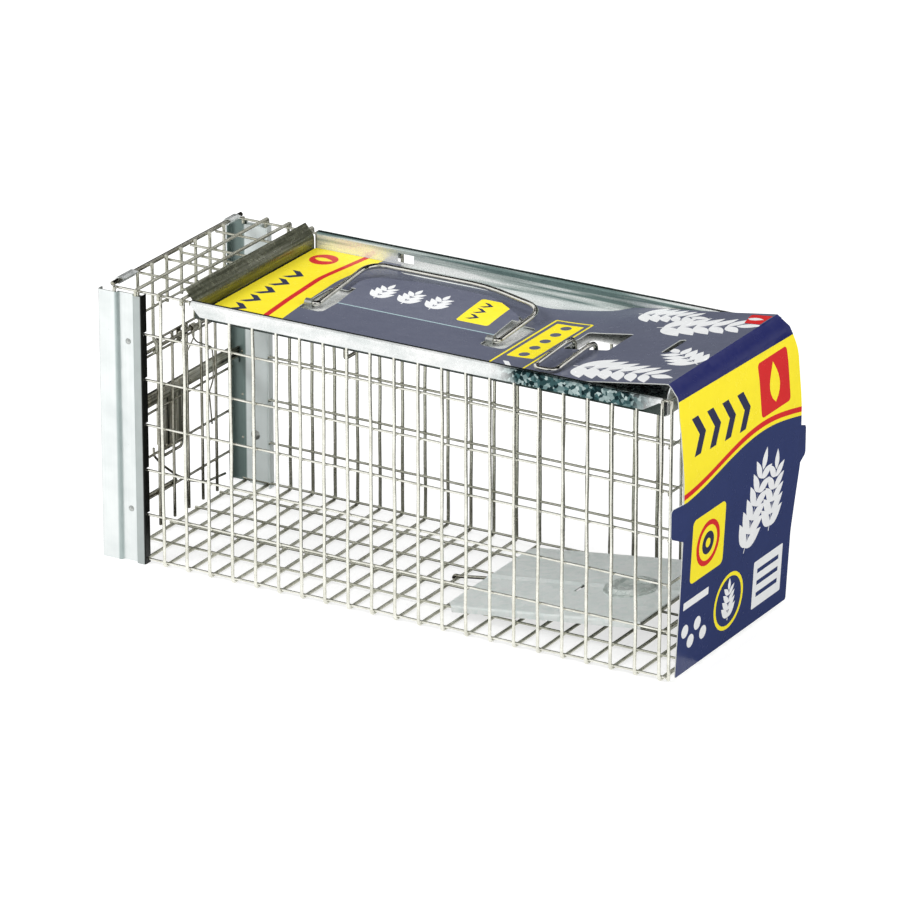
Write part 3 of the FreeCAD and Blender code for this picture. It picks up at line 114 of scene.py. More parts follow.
LOOP_R = 1.5
LOOP_REACH = 52.0
LOOP_PIN = 10.5
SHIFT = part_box("rear_panel_mesh")[1].x * 1000 - (REAR_X + UPRIGHT_R)  # added to X for the frame


def metres(x):
    """X on the trap as the frame's X in metres."""
    return (x + SHIFT) * MM


def at(p):
    """Point of the trap as a point of the frame in metres."""
    return Vector((metres(p[0]), p[1] * MM, p[2] * MM))


def wave(seed, t):
    """Smooth made-up unevenness between about -1 and 1."""
    a, b, c = 1.7 * t + 2.3 * seed, 0.63 * t + 5.1 * seed, 3.1 * t + 0.7 * seed
    return (sin(a) + sin(b) + sin(c)) / 3


# ---- Mesh building ----
STRAIGHT = 1.56  # radians: from this half angle on, a corner isn't rounded
END_SETBACK = 0.22  # cut ends are softened over this share of the radius
END_RADIUS = 0.76  # down to this share


class Shape:
    """Vertices and faces of one piece, in millimetres."""

    def __init__(self):
        self.verts = []
        self.faces = []

    def add(self, verts, faces):
        start = len(self.verts)
        self.verts += verts
        self.faces += [tuple(start + i for i in face) for face in faces]


def rounded(points, radii, step=8.0, closed=False, turn=14.0):
    """Centre line of a bent wire: straight runs joined by arcs, cut into steps."""
    pts = [Vector(p) for p in points]
    line = [] if closed else [pts[0]]
    count = len(pts)
    for i in range(count):
        if not closed and i in (0, count - 1):
            continue
        here = pts[i]
        back = (pts[i - 1] - here).normalized()
        ahead = (pts[(i + 1) % count] - here).normalized()
        half = back.angle(ahead) / 2
        if radii[i] < 0.01 or half > STRAIGHT:
            line.append(here)
            continue
        setback = radii[i] / tan(half)
        centre = here + (back + ahead).normalized() * radii[i] / sin(half)
        axis = ahead.cross(back).normalized()
        sweep = pi - 2 * half
        steps = max(2, int(degrees(sweep) / turn) + 1)
        arm = here + back * setback - centre
        for k in range(steps + 1):
            line.append(centre + Matrix.Rotation(sweep * k / steps, 3, axis) @ arm)
    line.append(line[0] if closed else pts[-1])
    fine = [line[0]]
    for a, b in zip(line, line[1:]):
        parts = max(1, int((b - a).length / step))
        for k in range(1, parts + 1):
            fine.append(a.lerp(b, k / parts))
    return fine


def tube(shape, line, radius, sides=12, uneven=0.0, seed=1.0):
    """Round wire along a centre line, with softly cut ends."""
    line = [p for i, p in enumerate(line) if i == 0 or (p - line[i - 1]).length > 1e-4]
    count = len(line)
    ahead = (line[1] - line[0]).normalized()
    side = ahead.orthogonal().normalized()
    rings = []
    for i in range(count):
        a = line[max(i - 1, 0)]
        b = line[min(i + 1, count - 1)]
        now = (b - a).normalized()
        side = (ahead.rotation_difference(now) @ side).normalized()
        side = (side - now * side.dot(now)).normalized()
        ahead = now
        rings.append((line[i], side.copy(), now.cross(side), radius * (1 + uneven * wave(seed, 0.9 * i))))
    first, last = rings[0], rings[-1]
    a = (line[1] - line[0]).normalized()
    b = (line[-1] - line[-2]).normalized()
    rings[0] = (first[0] + a * radius * END_SETBACK, *first[1:])
    rings[-1] = (last[0] - b * radius * END_SETBACK, *last[1:])
    rings.insert(0, (*first[:3], first[3] * END_RADIUS))
    rings.append((*last[:3], last[3] * END_RADIUS))
    turns = [2 * pi * k / sides for k in range(sides)]
    verts = [c + u * r * cos(turn) + v * r * sin(turn) for c, u, v, r in rings for turn in turns]
    faces = []
    for base in range(0, len(verts) - sides, sides):
        for k in range(sides):
            n = (k + 1) % sides
            faces.append((base + k, base + n, base + sides + n, base + sides + k))
    faces.append(tuple(range(sides - 1, -1, -1)))
    faces.append(tuple(range(len(verts) - sides, len(verts))))
    shape.add(verts, faces)


def wire(shape, a, b, radius, seed, sway=(0, 0, 0)):
    """Nearly straight wire whose middle sways a little."""
    line = rounded([a, b], [0, 0])
    for i, p in enumerate(line):
        ease = min(1.0, 2 * sin(pi * i / (len(line) - 1)))
        line[i] = p + Vector(sway) * wave(seed, 0.35 * i) * ease
    tube(shape, line, radius, uneven=0.008, seed=seed)


def blob(shape, centre, size, seed):
    """Lump of weld metal: a squashed, uneven ball."""
    rings, sides = 4, 8
    c = Vector(centre)
    verts = [c + Vector((0, 0, size[2]))]
    for i in range(1, rings):
        tilt = pi * i / rings
        for k in range(sides):
            turn = 2 * pi * k / sides
            grow = 1 + 0.14 * wave(seed, 2.1 * k + i)
            verts.append(c + Vector((size[0] * sin(tilt) * cos(turn) * grow,
                                     size[1] * sin(tilt) * sin(turn) * grow,
                                     size[2] * cos(tilt))))
    verts.append(c - Vector((0, 0, size[2])))
    faces = [(0, 1 + k, 1 + (k + 1) % sides) for k in range(sides)]
    for i in range(rings - 2):
        base = 1 + i * sides
        for k in range(sides):
            n = (k + 1) % sides
            faces.append((base + k, base + sides + k, base + sides + n, base + n))
    last = len(verts) - 1
    base = 1 + (rings - 2) * sides
    faces += [(last, base + (k + 1) % sides, base + k) for k in range(sides)]
    shape.add(verts, faces)


def new_object(name, data):
    """Object in the scene."""
    obj = bpy.data.objects.new(name, data)
    bpy.context.scene.collection.objects.link(obj)
    return obj


def mesh_object(name, verts, faces, material):
    """Object of points in metres."""
    mesh = bpy.data.meshes.new(name)
    mesh.from_pydata(verts, [], faces)
    mesh.materials.append(material)
    return new_object(name, mesh)


def make(name, shape, material, body, slot, *nodes):
    """Object from a shape, tied to its body, in place of the CAD nodes named; the slot is not used."""
    obj = mesh_object(name, [at(v) for v in shape.verts], shape.faces, material)
    obj.data.shade_smooth()
    obj.data.set_sharp_from_angle(angle=radians(50))
    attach(obj, body)
    if nodes:
        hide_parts(*nodes)
    return obj


# ---- Materials, with places in metres ----
SPANGLE_X = (metres(288), metres(366))  # large zinc crystals on the cover
LIP_X = (metres(57.8), metres(57.2))  # bend of its front lip
# Rails' inner bend, painted nearly black green as shade
NEAR_BEND_SHADE_Y = (-0.0756, -0.0724)
FAR_BEND_SHADE_Y = (0.0738, 0.0760)
# Far rail, painted with streaks of reflection
FAR_SKIRT_Y = (0.070, 0.072)


def seen_rays(tree):
    """1 for rays of the camera, of reflections and through glass, 0 for the others."""
    path = tree.nodes.new("ShaderNodeLightPath")
    seen = path.outputs["Is Camera Ray"]
    for kind in ("Is Glossy Ray", "Is Transmission Ray"):
        larger = tree.nodes.new("ShaderNodeMath")
        larger.operation = "MAXIMUM"
        tree.links.new(seen, larger.inputs[0])
        tree.links.new(path.outputs[kind], larger.inputs[1])
        seen = larger.outputs[0]
    return seen


class Nodes:
    """Short way to write a material's nodes."""

    def __init__(self, name):
        self.material = bpy.data.materials.new(name)
        self.material.use_nodes = True
        self.tree = self.material.node_tree
        self.shader = self.tree.nodes["Principled BSDF"]
        self.place = self.node("TexCoord", {}).outputs["Object"]

    def link(self, source, target):
        self.tree.links.new(source, target)

    def node(self, kind, inputs, **settings):
        """New shader node. An input is a number, vector, colour as a tuple or other node's output."""
        made = self.tree.nodes.new("ShaderNode" + kind)
        for key, value in settings.items():
            setattr(made, key, value)
        for key, value in inputs.items():
            if isinstance(value, bpy.types.NodeSocket):
                self.link(value, made.inputs[key])
            elif isinstance(value, tuple):
                made.inputs[key].default_value = (*value, 1.0)
            else:
                made.inputs[key].default_value = value
        return made

    def set(self, **values):
        """Values that are the same all over."""
        for key, value in values.items():
            self.shader.inputs[key.replace("_", " ")].default_value = value

    def stretched(self, x, y, z):
        """Place on the object, scaled along each axis."""
        inputs = {"Vector": self.place, "Scale": Vector((x, y, z))}
        return self.node("Mapping", inputs).outputs["Vector"]

    def noise(self, scale, detail=3.0, rough=0.6, where=None):
        inputs = {"Scale": scale, "Detail": detail, "Roughness": rough, "Vector": where or self.place}
        return self.node("TexNoise", inputs).outputs["Fac"]

    def axes(self):
        """X and Y of the place on the object, in metres."""
        return self.node("SeparateXYZ", {"Vector": self.place}).outputs[:2]

    def crystals(self, size):
        """Three random values for each flat, slightly ragged crystal of zinc."""
        where = self.mix(0.0025, self.place, self.noise(300.0, 2.0), "ADD")
        cells = self.node("TexVoronoi", {"Scale": size, "Vector": where})
        return self.node("SeparateColor", {"Color": cells.outputs["Color"]}).outputs

    def ramp(self, value, *stops):
        """Colours or greys at places between 0 and 1."""
        made = self.node("ValToRGB", {"Fac": value})
        elements = made.color_ramp.elements
        while len(elements) < len(stops):
            elements.new(0.5)
        for element, (place, colour) in zip(elements, stops):
            element.position = place
            rgb = colour if isinstance(colour, tuple) else (colour,) * 3
            element.color = (*rgb, 1.0)
        return made.outputs["Color"]

    def mix(self, factor, a, b, how="MIX"):
        inputs = {0: factor, 6: a, 7: b}
        return self.node("Mix", inputs, data_type="RGBA", blend_type=how).outputs[2]

    def layered(self, colour, *layers):
        """Pairs of mask and colour, laid one over another."""
        for mask, over in layers:
            colour = self.mix(mask, colour, over)
        return colour

    def math(self, how, a, b):
        return self.node("Math", {0: a, 1: b}, operation=how).outputs[0]

    def slope(self, value, start, end):
        """0 at the start, 1 at the end, straight between them."""
        inputs = {"Value": value, "From Min": start, "From Max": end}
        return self.node("MapRange", inputs).outputs["Result"]

    def band(self, value, low, high, soft, top=1.0):
        """A top value between two limits, 0 outside them, with soft borders."""
        rise = self.slope(value, low - soft, low)
        fall = self.slope(value, high + soft, high)
        return self.math("MULTIPLY", self.math("MULTIPLY", rise, fall), top)

    def bump(self, *layers):
        """Bump from pairs of height and depth in metres."""
        inputs = {"Strength": 1.0}
        for height, depth in layers:
            inputs.update(Height=height, Distance=depth)
            inputs["Normal"] = self.node("Bump", inputs).outputs["Normal"]
        self.link(inputs["Normal"], self.shader.inputs["Normal"])

    def finish(self, colour, roughness):
        self.link(colour, self.shader.inputs["Base Color"])
        self.link(roughness, self.shader.inputs["Roughness"])
        return self.material


def metal_wire(name, light, dark, rough, shine):
    """Zinc-coated wire: pale and slightly blotched."""
    m = Nodes(name)
    blotch = m.noise(90.0, 3.0)
    grain = m.noise(700.0, 4.0)
    colour = m.ramp(blotch, (0.32, dark), (0.62, light))
    colour = m.mix(0.35, colour, m.ramp(grain, (0.3, dark), (0.6, light)))
    m.set(Metallic=shine)
    m.bump((grain, 0.00001))
    return m.finish(colour, m.ramp(m.noise(160.0), (0.3, rough), (0.7, rough + 0.14)))


def drawn(name, grain):
    """Dull sheet with nearly black lines from the rolls and light lines along them, a painted highlight."""
    m = Nodes(name)
    lines = m.noise(1.0, 3.0, 0.6, m.stretched(*grain))
    # The pale lines are a painted highlight
    black, grey, pale = (0.020, 0.020, 0.014), (0.42, 0.41, 0.33), (0.92, 0.91, 0.82)
    m.set(Metallic=0.8)
    m.bump((lines, 0.00005))
    return m.finish(m.ramp(lines, (0.36, black), (0.5, grey), (0.6, pale)),
                    m.ramp(m.noise(160.0), (0.3, 0.24), (0.7, 0.4)))


def spangled(name, light, dark, size, rough, shine):
    """Hot-dip galvanised sheet: flat crystals of zinc, each with its own tone."""
    m = Nodes(name)
    tone, height, gloss = m.crystals(size)
    fine = m.noise(900.0, 4.0)
    colour = m.ramp(m.mix(0.35, tone, m.noise(60.0, 3.0)), (0.12, dark), (0.75, light))
    colour = m.mix(0.12, colour, m.ramp(fine, (0.35, dark), (0.65, light)))
    m.set(Metallic=shine)
    m.bump((height, 0.0004), (fine, 0.00006))
    return m.finish(colour, m.ramp(gloss, (0.0, rough - 0.08), (1.0, rough + 0.16)))


def cover_sheet():
    """Hot-dip galvanised cover: nearly plain and pale at the front, large dark crystals of zinc
    towards the rear of its near side, a dark olive streaked front lip, painted shade along the
    rails' inner bend and painted streaks of reflection on the far rail."""
    m = Nodes("cover_sheet")
    x, y = m.axes()
    tone, height, gloss = m.crystals(420.0)
    ragged = m.math("MULTIPLY", m.math("SUBTRACT", m.noise(16.0, 2.0), 0.5), 0.07)
    rearward = m.band(m.math("ADD", x, ragged), *SPANGLE_X, 0.024)
    rear = m.math("MULTIPLY", rearward, m.slope(y, 0.001, -0.001))
    far = m.slope(y, *FAR_SKIRT_Y)
    # Painted shade in the rails' inner bend
    bend_shade = m.math("MAXIMUM", m.band(y, *NEAR_BEND_SHADE_Y, 0.0003, 0.95), m.band(y, *FAR_BEND_SHADE_Y, 0.0003, 0.92))
    lip = m.slope(x, *LIP_X)

    cloud = m.noise(1.0, 4.0, 0.55, m.stretched(30.0, 60.0, 90.0))
    pale = m.ramp(cloud, (0.33, (0.76, 0.8, 0.79)), (0.56, (0.97, 0.98, 0.97)))
    crystal = m.mix(0.3, tone, m.noise(45.0, 3.0))
    dark = m.ramp(crystal, (0.26, (0.004, 0.017, 0.02)), (0.54, (0.055, 0.125, 0.13)),
                  (0.85, (0.46, 0.56, 0.55)))
    # Far rail: horizontal streaks from dark teal to white, a painted reflection
    along = m.noise(1.0, 3.0, 0.5, m.stretched(7.0, 60.0, 240.0))
    skirt_reflection_streaks = m.ramp(along, (0.38, (0.14, 0.21, 0.2)), (0.48, (0.56, 0.62, 0.6)), (0.56, (0.96, 0.97, 0.96)))
    streaks = m.noise(1.0, 4.0, 0.6, m.stretched(260.0, 12.0, 420.0))
    olive = m.ramp(streaks, (0.3, (0.06, 0.065, 0.038)), (0.5, (0.19, 0.2, 0.14)), (0.72, (0.46, 0.47, 0.38)))
    fine = m.noise(900.0, 4.0)
    # The nearly black green over the rails' inner bend is painted shade.
    colour = m.layered(pale, (rear, dark), (far, skirt_reflection_streaks), (bend_shade, (0.018, 0.032, 0.026)), (lip, olive))
    colour = m.mix(1.0, colour, m.ramp(fine, (0.35, 0.88), (0.65, 1.0)), "MULTIPLY")

    bare = m.math("MAXIMUM", m.math("MAXIMUM", rear, lip), bend_shade)
    shine = m.math("ADD", 0.38, m.math("MULTIPLY", bare, 0.54))
    m.link(m.math("SUBTRACT", shine, m.math("MULTIPLY", far, 0.13)), m.shader.inputs["Metallic"])
    m.bump((m.math("MULTIPLY", height, rear), 0.0006), (fine, 0.00004))
    return m.finish(colour, m.ramp(gloss, (0.0, 0.2), (1.0, 0.4)))


def guide_light_and_shade(m, colour):
    """Painted light and shade of the two guide strips: the near one is greener at its step as painted
    shade, grey on its rear flange as painted reflection, with a painted dark line at its front and a
    painted shadow at its rear edge; the far one is painted pale behind its step and dark in front of
    it as painted shadow, with a lighter band at its fold."""
    x, y = m.axes()
    near = m.slope(y, 0.001, -0.001)
    # Near strip: painted shade at the front and at the step, painted reflection on the rear flange, painted
    # shadow at the rear edge
    front_edge_shade = m.math("MULTIPLY", m.slope(x, metres(-10.6), metres(-11.3)), 0.6)
    step = m.band(x, metres(1.6), metres(3.2), 0.0012, 0.6)
    flange = m.band(x, metres(14.4), metres(20.0), 0.0012, 0.62)
    rear_edge_shadow = m.band(x, metres(20.1), metres(21.0), 0.0003)
    outer = m.layered(colour, (front_edge_shade, (0.1, 0.13, 0.12)), (step, (0.16, 0.25, 0.24)),
                      (flange, (0.2, 0.24, 0.23)), (rear_edge_shadow, (0.02, 0.022, 0.02)))
    # Far strip: painted lighter as a whole, painted shadow in front of the step, a lighter band at the fold
    channel_shadow = m.slope(x, metres(3.0), metres(2.0))
    fold = m.band(x, metres(-1.4), metres(-0.2), 0.0006, 0.7)
    inner = m.layered(colour, (0.6, (0.88, 0.97, 0.96)), (channel_shadow, (0.17, 0.235, 0.22)),
                      (fold, (0.55, 0.63, 0.61)))
    m.link(m.math("ADD", 0.1, m.math("MULTIPLY", near, 0.75)), m.shader.inputs["Metallic"])
    return m.mix(near, inner, outer)


def strip_steel(name, light, dark, guide=False):
    """Bright cold-rolled strip with faint lines along its length and small marks."""
    m = Nodes(name)
    lines = m.noise(1.0, 3.0, 0.6, m.stretched(900.0, 900.0, 14.0))
    cloud = m.noise(38.0, 3.0)
    spots = m.noise(420.0, 5.0, 0.7)
    colour = m.ramp(cloud, (0.3, dark), (0.65, light))
    colour = m.mix(0.25, colour, m.ramp(lines, (0.3, dark), (0.6, light)))
    marks = m.ramp(spots, (0.66, (1.0, 1.0, 1.0)), (0.74, (0.62, 0.63, 0.62)))
    colour = m.mix(0.5, colour, marks, "MULTIPLY")
    # The guide strips get painted light and shade
    if guide:
        colour = guide_light_and_shade(m, colour)
    else:
        m.set(Metallic=0.85)
    m.bump((lines, 0.00006), (cloud, 0.0009), (spots, 0.00008))
    return m.finish(colour, m.ramp(m.noise(120.0), (0.3, 0.3), (0.7, 0.46)))


WIRE = metal_wire("zinc_wire", (0.88, 0.875, 0.8), (0.6, 0.595, 0.51), 0.16, 1.0)
# Darker copy of the zinc wire for the far wall, floor, roof and header: painted shade
SHADED_FAR_WIRE = metal_wire("shaded_inner_wire", (0.7, 0.7, 0.6), (0.42, 0.42, 0.33), 0.18, 0.72)
# Still darker copy of the zinc wire for the door, the front and hinge bars, spring, stirrup, rods and clips:
# painted shade
SHADED_DOOR_WIRE = metal_wire("shaded_door_wire", (0.54, 0.53, 0.46), (0.22, 0.21, 0.16), 0.15, 1.0)
BRIGHT = metal_wire("plated_wire", (0.88, 0.87, 0.81), (0.62, 0.61, 0.54), 0.1, 1.0)
CLIP = metal_wire("clip_sheet", (0.92, 0.95, 0.94), (0.26, 0.29, 0.28), 0.2, 0.7)
STRIP = strip_steel("strip_steel", (0.815, 0.85, 0.84), (0.7, 0.74, 0.735), guide=True)
SMALL = strip_steel("small_sheet", (0.6, 0.62, 0.6), (0.36, 0.38, 0.36))
COVER = cover_sheet()
TREADLE = spangled("treadle_sheet", (0.96, 1.0, 0.985), (0.84, 0.92, 0.9), 260.0, 0.42, 0.03)
DISH = spangled("dish_sheet", (0.9, 0.95, 0.92), (0.56, 0.64, 0.61), 300.0, 0.3, 0.25)
LOCK = drawn("lock_sheet", (260.0, 9.0, 260.0))
FINGER = drawn("finger_sheet", (260.0, 420.0, 9.0))


# ---- Cage ----
def row_heights(side):
    """Heights of a side wall's long wires; the mesh is folded a little off centre."""
    if side == "near":
        rows = [FLOOR_LINE_Z + row * (ROW + NEAR_ROW_EXTRA) for row in range(1, ROWS_HIGH)]
    else:
        rows = [FLOOR_LINE_Z + row * ROW - FAR_ROW_DROP for row in range(1, ROWS_HIGH)]
    return [FLOOR_LINE_Z] + rows + [ROOF_LINE_Z]


def wall(side):
    """Side wall: uprights folded under the lowest long wire, long wires, welds."""
    shape = Shape()
    s = -1 if side == "near" else 1
    bend = UPRIGHT_R + LINE_R - 0.01
    for bay, x in enumerate(BAY_XS):
        corners = [(x, s * UPRIGHT_Y, UPRIGHT_TOP), (x, s * UPRIGHT_Y, UPRIGHT_R), (x, s * LINE_Y, UPRIGHT_R)]
        line = [p + Vector((0.35 * wave(bay * s, p.z / 25) * min(1, p.z / 20), 0, 0))
                for p in rounded(corners, [0, bend, 0])]
        tube(shape, line, UPRIGHT_R, uneven=UNEVEN, seed=bay)
    y = s * LINE_Y
    for row, z in enumerate(row_heights(side)):
        wire(shape, (FRONT_ROD_X, y, z), (REAR_X - UPRIGHT_R, y, z), LINE_R, row * s + 0.4, sway=(0, 0, 0.25))
        for bay, x in enumerate(BAY_XS):
            size = (1.5 + 0.2 * wave(bay, row), 1.15, 1.25)
            blob(shape, (x, s * HALF, z), size, bay * 7.1 + row * 3.3 + s)
    # The far wall takes the darker copy of the wire: painted shade
    material = WIRE if side == "near" else SHADED_FAR_WIRE
    make(side + "_wall_wires", shape, material, "cage", "wire", side + "_side_mesh")


def floor():
    """Cross wires between the walls, with long wires on them."""
    shape = Shape()
    for bay, x in enumerate(BAY_XS):
        wire(shape, (x, -LINE_Y, UPRIGHT_R), (x, LINE_Y, UPRIGHT_R), UPRIGHT_R, bay, sway=(0.3, 0, 0))
    end = REAR_X - UPRIGHT_R - 2 * LINE_R
    for row in range(1, ROWS_WIDE):
        y = -HALF + row * ROW
        wire(shape, (-UPRIGHT_R, y, FLOOR_LINE_Z), (end, y, FLOOR_LINE_Z), LINE_R, row, sway=(0, 0.3, 0))
        for bay, x in enumerate(BAY_XS):
            blob(shape, (x, y, FLOOR_LINE_Z - LINE_R), LYING_WELD, bay * 3.7 + row)
    make("floor_wires", shape, SHADED_FAR_WIRE, "cage", "wire", "floor_mesh")


def rear_panel():
    """Flat mesh that closes the rear, its cross wires on the inside."""
    shape = Shape()
    places = [-LINE_Y + i * 2 * LINE_Y / (REAR_WIRES - 1) for i in range(REAR_WIRES)]
    for i, y in enumerate(places):
        wire(shape, (REAR_X, y, UPRIGHT_R), (REAR_X, y, UPRIGHT_TOP), UPRIGHT_R, i + 0.5, sway=(0, 0.25, 0))
    x = REAR_X - UPRIGHT_R - LINE_R
    for row in range(ROWS_HIGH + 1):
        z = FLOOR_LINE_Z + row * ROW
        wire(shape, (x, LINE_R - LINE_Y, z), (x, LINE_Y - LINE_R, z), LINE_R, row + 0.2, sway=(0, 0, 0.2))
        for i, y in enumerate(places):
            blob(shape, (REAR_X - UPRIGHT_R, y, z), STANDING_WELD, i * 2.9 + row)
    make("rear_panel_wires", shape, WIRE, "cage", "wire", "rear_panel_mesh")


def roof():
    """Open mesh in front of the cover, its cross wires curled over the walls."""
    shape = Shape()
    z = ROOF_TOP + UPRIGHT_R
    edge = UPRIGHT_Y + 2 * UPRIGHT_R + WIRE_GAP
    for bay in ROOF_BAYS:
        x = bay * PITCH
        corners = [(x, -edge, z - ROOF_HOOK), (x, -edge, z), (x, edge, z), (x, edge, z - ROOF_HOOK)]
        tube(shape, rounded(corners, [0, 1.6, 1.6, 0]), UPRIGHT_R, uneven=UNEVEN, seed=bay)
    end = ROOF_BAYS[-1] * PITCH + UPRIGHT_R
    for y in ROOF_LINES:
        start = FRONT_ROD_X if y else HINGE_X + UPRIGHT_R + WIRE_GAP
        wire(shape, (start, y, ROOF_LINE_Z), (end, y, ROOF_LINE_Z), LINE_R, y, sway=(0, 0.2, 0))
        for bay in ROOF_BAYS:
            blob(shape, (bay * PITCH, y, ROOF_TOP), LYING_WELD, bay * 1.7 + y)
    make("roof_wires", shape, SHADED_FAR_WIRE, "cage", "wire", "roof_mesh")


def bar(name, node, x, z, reach, radius, seed, sway=(0, 0, 0)):
    """Straight bar across the front of the cage."""
    shape = Shape()
    wire(shape, (x, -reach, z), (x, reach, z), radius, seed, sway)
    make(name, shape, SHADED_DOOR_WIRE, "cage", "wire", node)


def hanger(shape, y, top, seed):
    """Long wire of the header, hooked round the hinge bar."""
    hook = HINGE_R + UPRIGHT_R + WIRE_GAP
    corners = [(HINGE_X, y, top), (HINGE_X, y, HINGE_Z + hook + 5), (HINGE_X + hook, y, HINGE_Z + hook + 1),
               (HINGE_X + hook, y, HINGE_Z - hook), (HINGE_X - 0.2, y, HINGE_Z - hook)]
    tube(shape, rounded(corners, [0, 2, 2, hook - 0.1, 0]), UPRIGHT_R, uneven=UNEVEN, seed=seed)


def header():
    """Short mesh above the doorway; two of its wires reach down to the hinge bar."""
    shape = Shape()
    top = ROOF_TOP + 2 * FRONT_ROD_R
    for i in range(HEADER_WIRES):
        y = (i - HEADER_WIRES // 2) * PITCH
        if i in HANGERS:
            hanger(shape, y, top, i)
        else:
            wire(shape, (HINGE_X, y, HEADER_BOTTOM), (HINGE_X, y, top), UPRIGHT_R, i, sway=(0, 0.1, 0))
        blob(shape, (HINGE_X + UPRIGHT_R, y, HEADER_ROW_Z), STANDING_WELD, i)
        blob(shape, (HINGE_X - 0.9, y, FRONT_ROD_Z), (0.9, 1.4, 1.2), i + 0.3)
    x, y, z = HINGE_X + UPRIGHT_R + LINE_R, LINE_Y - LINE_R, HEADER_ROW_Z
    wire(shape, (x, -y, z), (x, y, z), LINE_R, 2.2, sway=(0, 0, 0.15))
    make("header_wires", shape, SHADED_FAR_WIRE, "cage", "wire", "header_mesh")


# ---- Door and latch ----
def door():
    """Upright door wires, row wires in front of them and a short wire that doubles the lowest."""
    shape = Shape()
    places = [-DOOR_HALF + i * PITCH for i in range(DOOR_WIRES)]
    for i, y in enumerate(places):
        wire(shape, (DOOR_X, y, DOOR_BOTTOM), (DOOR_X, y, DOOR_TOP), DOOR_R, i, sway=(0, 0.2, 0))
    reach = DOOR_HALF + DOOR_ROW_OVERHANG
    for row, z in enumerate(DOOR_ROWS):
        wire(shape, (DOOR_ROW_X, -reach, z), (DOOR_ROW_X, reach, z), LINE_R, row, sway=(0, 0, 0.15))
        for i, y in enumerate(places):
            blob(shape, (DOOR_X - DOOR_R, y, z), (0.8, 1.2, 1.1), i * 1.3 + row)
    x, z = DOOR_X - DOOR_R - DOUBLER_R, DOOR_ROWS[0] + LINE_R + DOUBLER_R
    wire(shape, (x, DOUBLER_Y[0], z), (x, DOUBLER_Y[1], z), DOUBLER_R, 4.0)
    make("door_wires", shape, SHADED_DOOR_WIRE, "door", "wire", "door_mesh")


def pull_wire():
    """Wire that slants down across the outside of the door."""
    shape = Shape()
    x = DOOR_ROW_X - LINE_R - PULL_WIRE_R
    z = DOOR_ROWS[1]
    points = [(x, -27, z + 3.2), (x, -27, z - 2), (x, -18, 43), (x, -0.5, 29.5), (x, 14, 21), (x, 34, 13),
              (x, DOOR_HALF - 1.5, 10.8)]
    tube(shape, rounded(points, [0, 4, 8, 14, 14, 20, 0]), PULL_WIRE_R, uneven=UNEVEN)
    make("pull_wire", shape, SHADED_DOOR_WIRE, "door", "wire", "door_pull_wire")


def spring():
    """Torsion spring: a close coil round the hinge bar and two long thin legs."""
    shape = Shape()
    radius = HINGE_R + SPRING_R + SPRING_PLAY
    leg = DOOR_X + DOOR_R + (SPRING_R + WIRE_GAP)
    coil = []
    for k in range(SPRING_STEPS + 1):
        turn = SPRING_TURNS * k / SPRING_STEPS
        coil.append(Vector((HINGE_X + radius * cos(2 * pi * turn), SPRING_Y + SPRING_LEAD * turn,
                            HINGE_Z + radius * sin(2 * pi * turn))))
    start, end = coil[0], coil[-1]
    near = rounded([(leg, 4, 102), (leg, 6, 113), (HINGE_X + radius, SPRING_Y - 0.2, HINGE_Z - 6), start],
                   [0, 6, 6, 0], 3)
    far = rounded([end, (end.x, end.y + 0.2, HINGE_Z - 6), (leg, end.y + 2, 117), (leg, 36, 107),
                   (leg, 37.5, 96), (leg, 37, 84), (leg, 32, 77), (leg, 35, 54)],
                  [0, 5, 9, 5, 12, 8, 3.5, 0], 3)
    tube(shape, near[:-1] + coil + far[1:], SPRING_R, sides=10)
    make("spring_wire", shape, SHADED_DOOR_WIRE, "door", "wire", "door_spring")


def stirrup():
    """Wire round the lock bar's finger plate, as large as the CAD piece."""
    shape = Shape()
    low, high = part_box("latch_stirrup")
    x = (low.x + high.x) * 500 - SHIFT
    w = (high.y - low.y) * 500 - STIRRUP_R
    foot, top = low.z * 1000 + STIRRUP_R, high.z * 1000 - STIRRUP_R
    points = [(x, 4 - w, top), (x, -w, top), (x, -w, foot), (x, w, foot), (x, w, top), (x, w - 4, top)]
    tube(shape, rounded(points, [0, 1.2, 2.4, 2.4, 1.2, 0], 3), STIRRUP_R)
    make("stirrup_wire", shape, SHADED_DOOR_WIRE, "lock_bar", "wire", "latch_stirrup")


# ---- Handle and loop ----
def handle():
    """Carry handle that lies on the card, its turned ends in the two saddles."""
    y, z = HANDLE_Y, HANDLE_Z
    top = y + HANDLE_REACH
    points = [(HANDLE_X0 - HANDLE_PIN, y, z), (HANDLE_X0, y, z), (HANDLE_X0 - 2, top, z),
              (HANDLE_X1 - 48, top, z), (HANDLE_X1 + 1, top - 15, z), (HANDLE_X1, y, z),
              (HANDLE_X1 - HANDLE_PIN, y, z)]
    turn, pin = Matrix.Rotation(radians(HANDLE_TILT), 3, "X"), Vector((0, y, z))
    line = [turn @ (p - pin) + pin for p in rounded(points, [0, 2.6, 12, 70, 18, 2.6, 0], 4)]
    shape = Shape()
    tube(shape, line, HANDLE_R, sides=20)
    make("handle_wire", shape, BRIGHT, "handle", "bright_wire", "carry_handle")


def loop():
    """Narrow setting loop that rises through the card and lies over it."""
    y, z = LOOP_Y, LOOP_Z
    points = []
    for x, out in ((LOOP_X0, -1), (LOOP_X1, 1)):
        side = [(x + out * LOOP_PIN, y, z), (x, y, z), (x, y, z + 15), (x, y - 12, z + 15.5),
                (x, y - LOOP_REACH, z + 13)]
        points += side if out < 0 else side[::-1]
    shape = Shape()
    tube(shape, rounded(points, [0, 2.4, 5, 8, 5.5, 5.5, 8, 5, 2.4, 0], 4), LOOP_R, sides=18)
    make("loop_wire", shape, BRIGHT, "setting_loop", "bright_wire", "setting_loop")


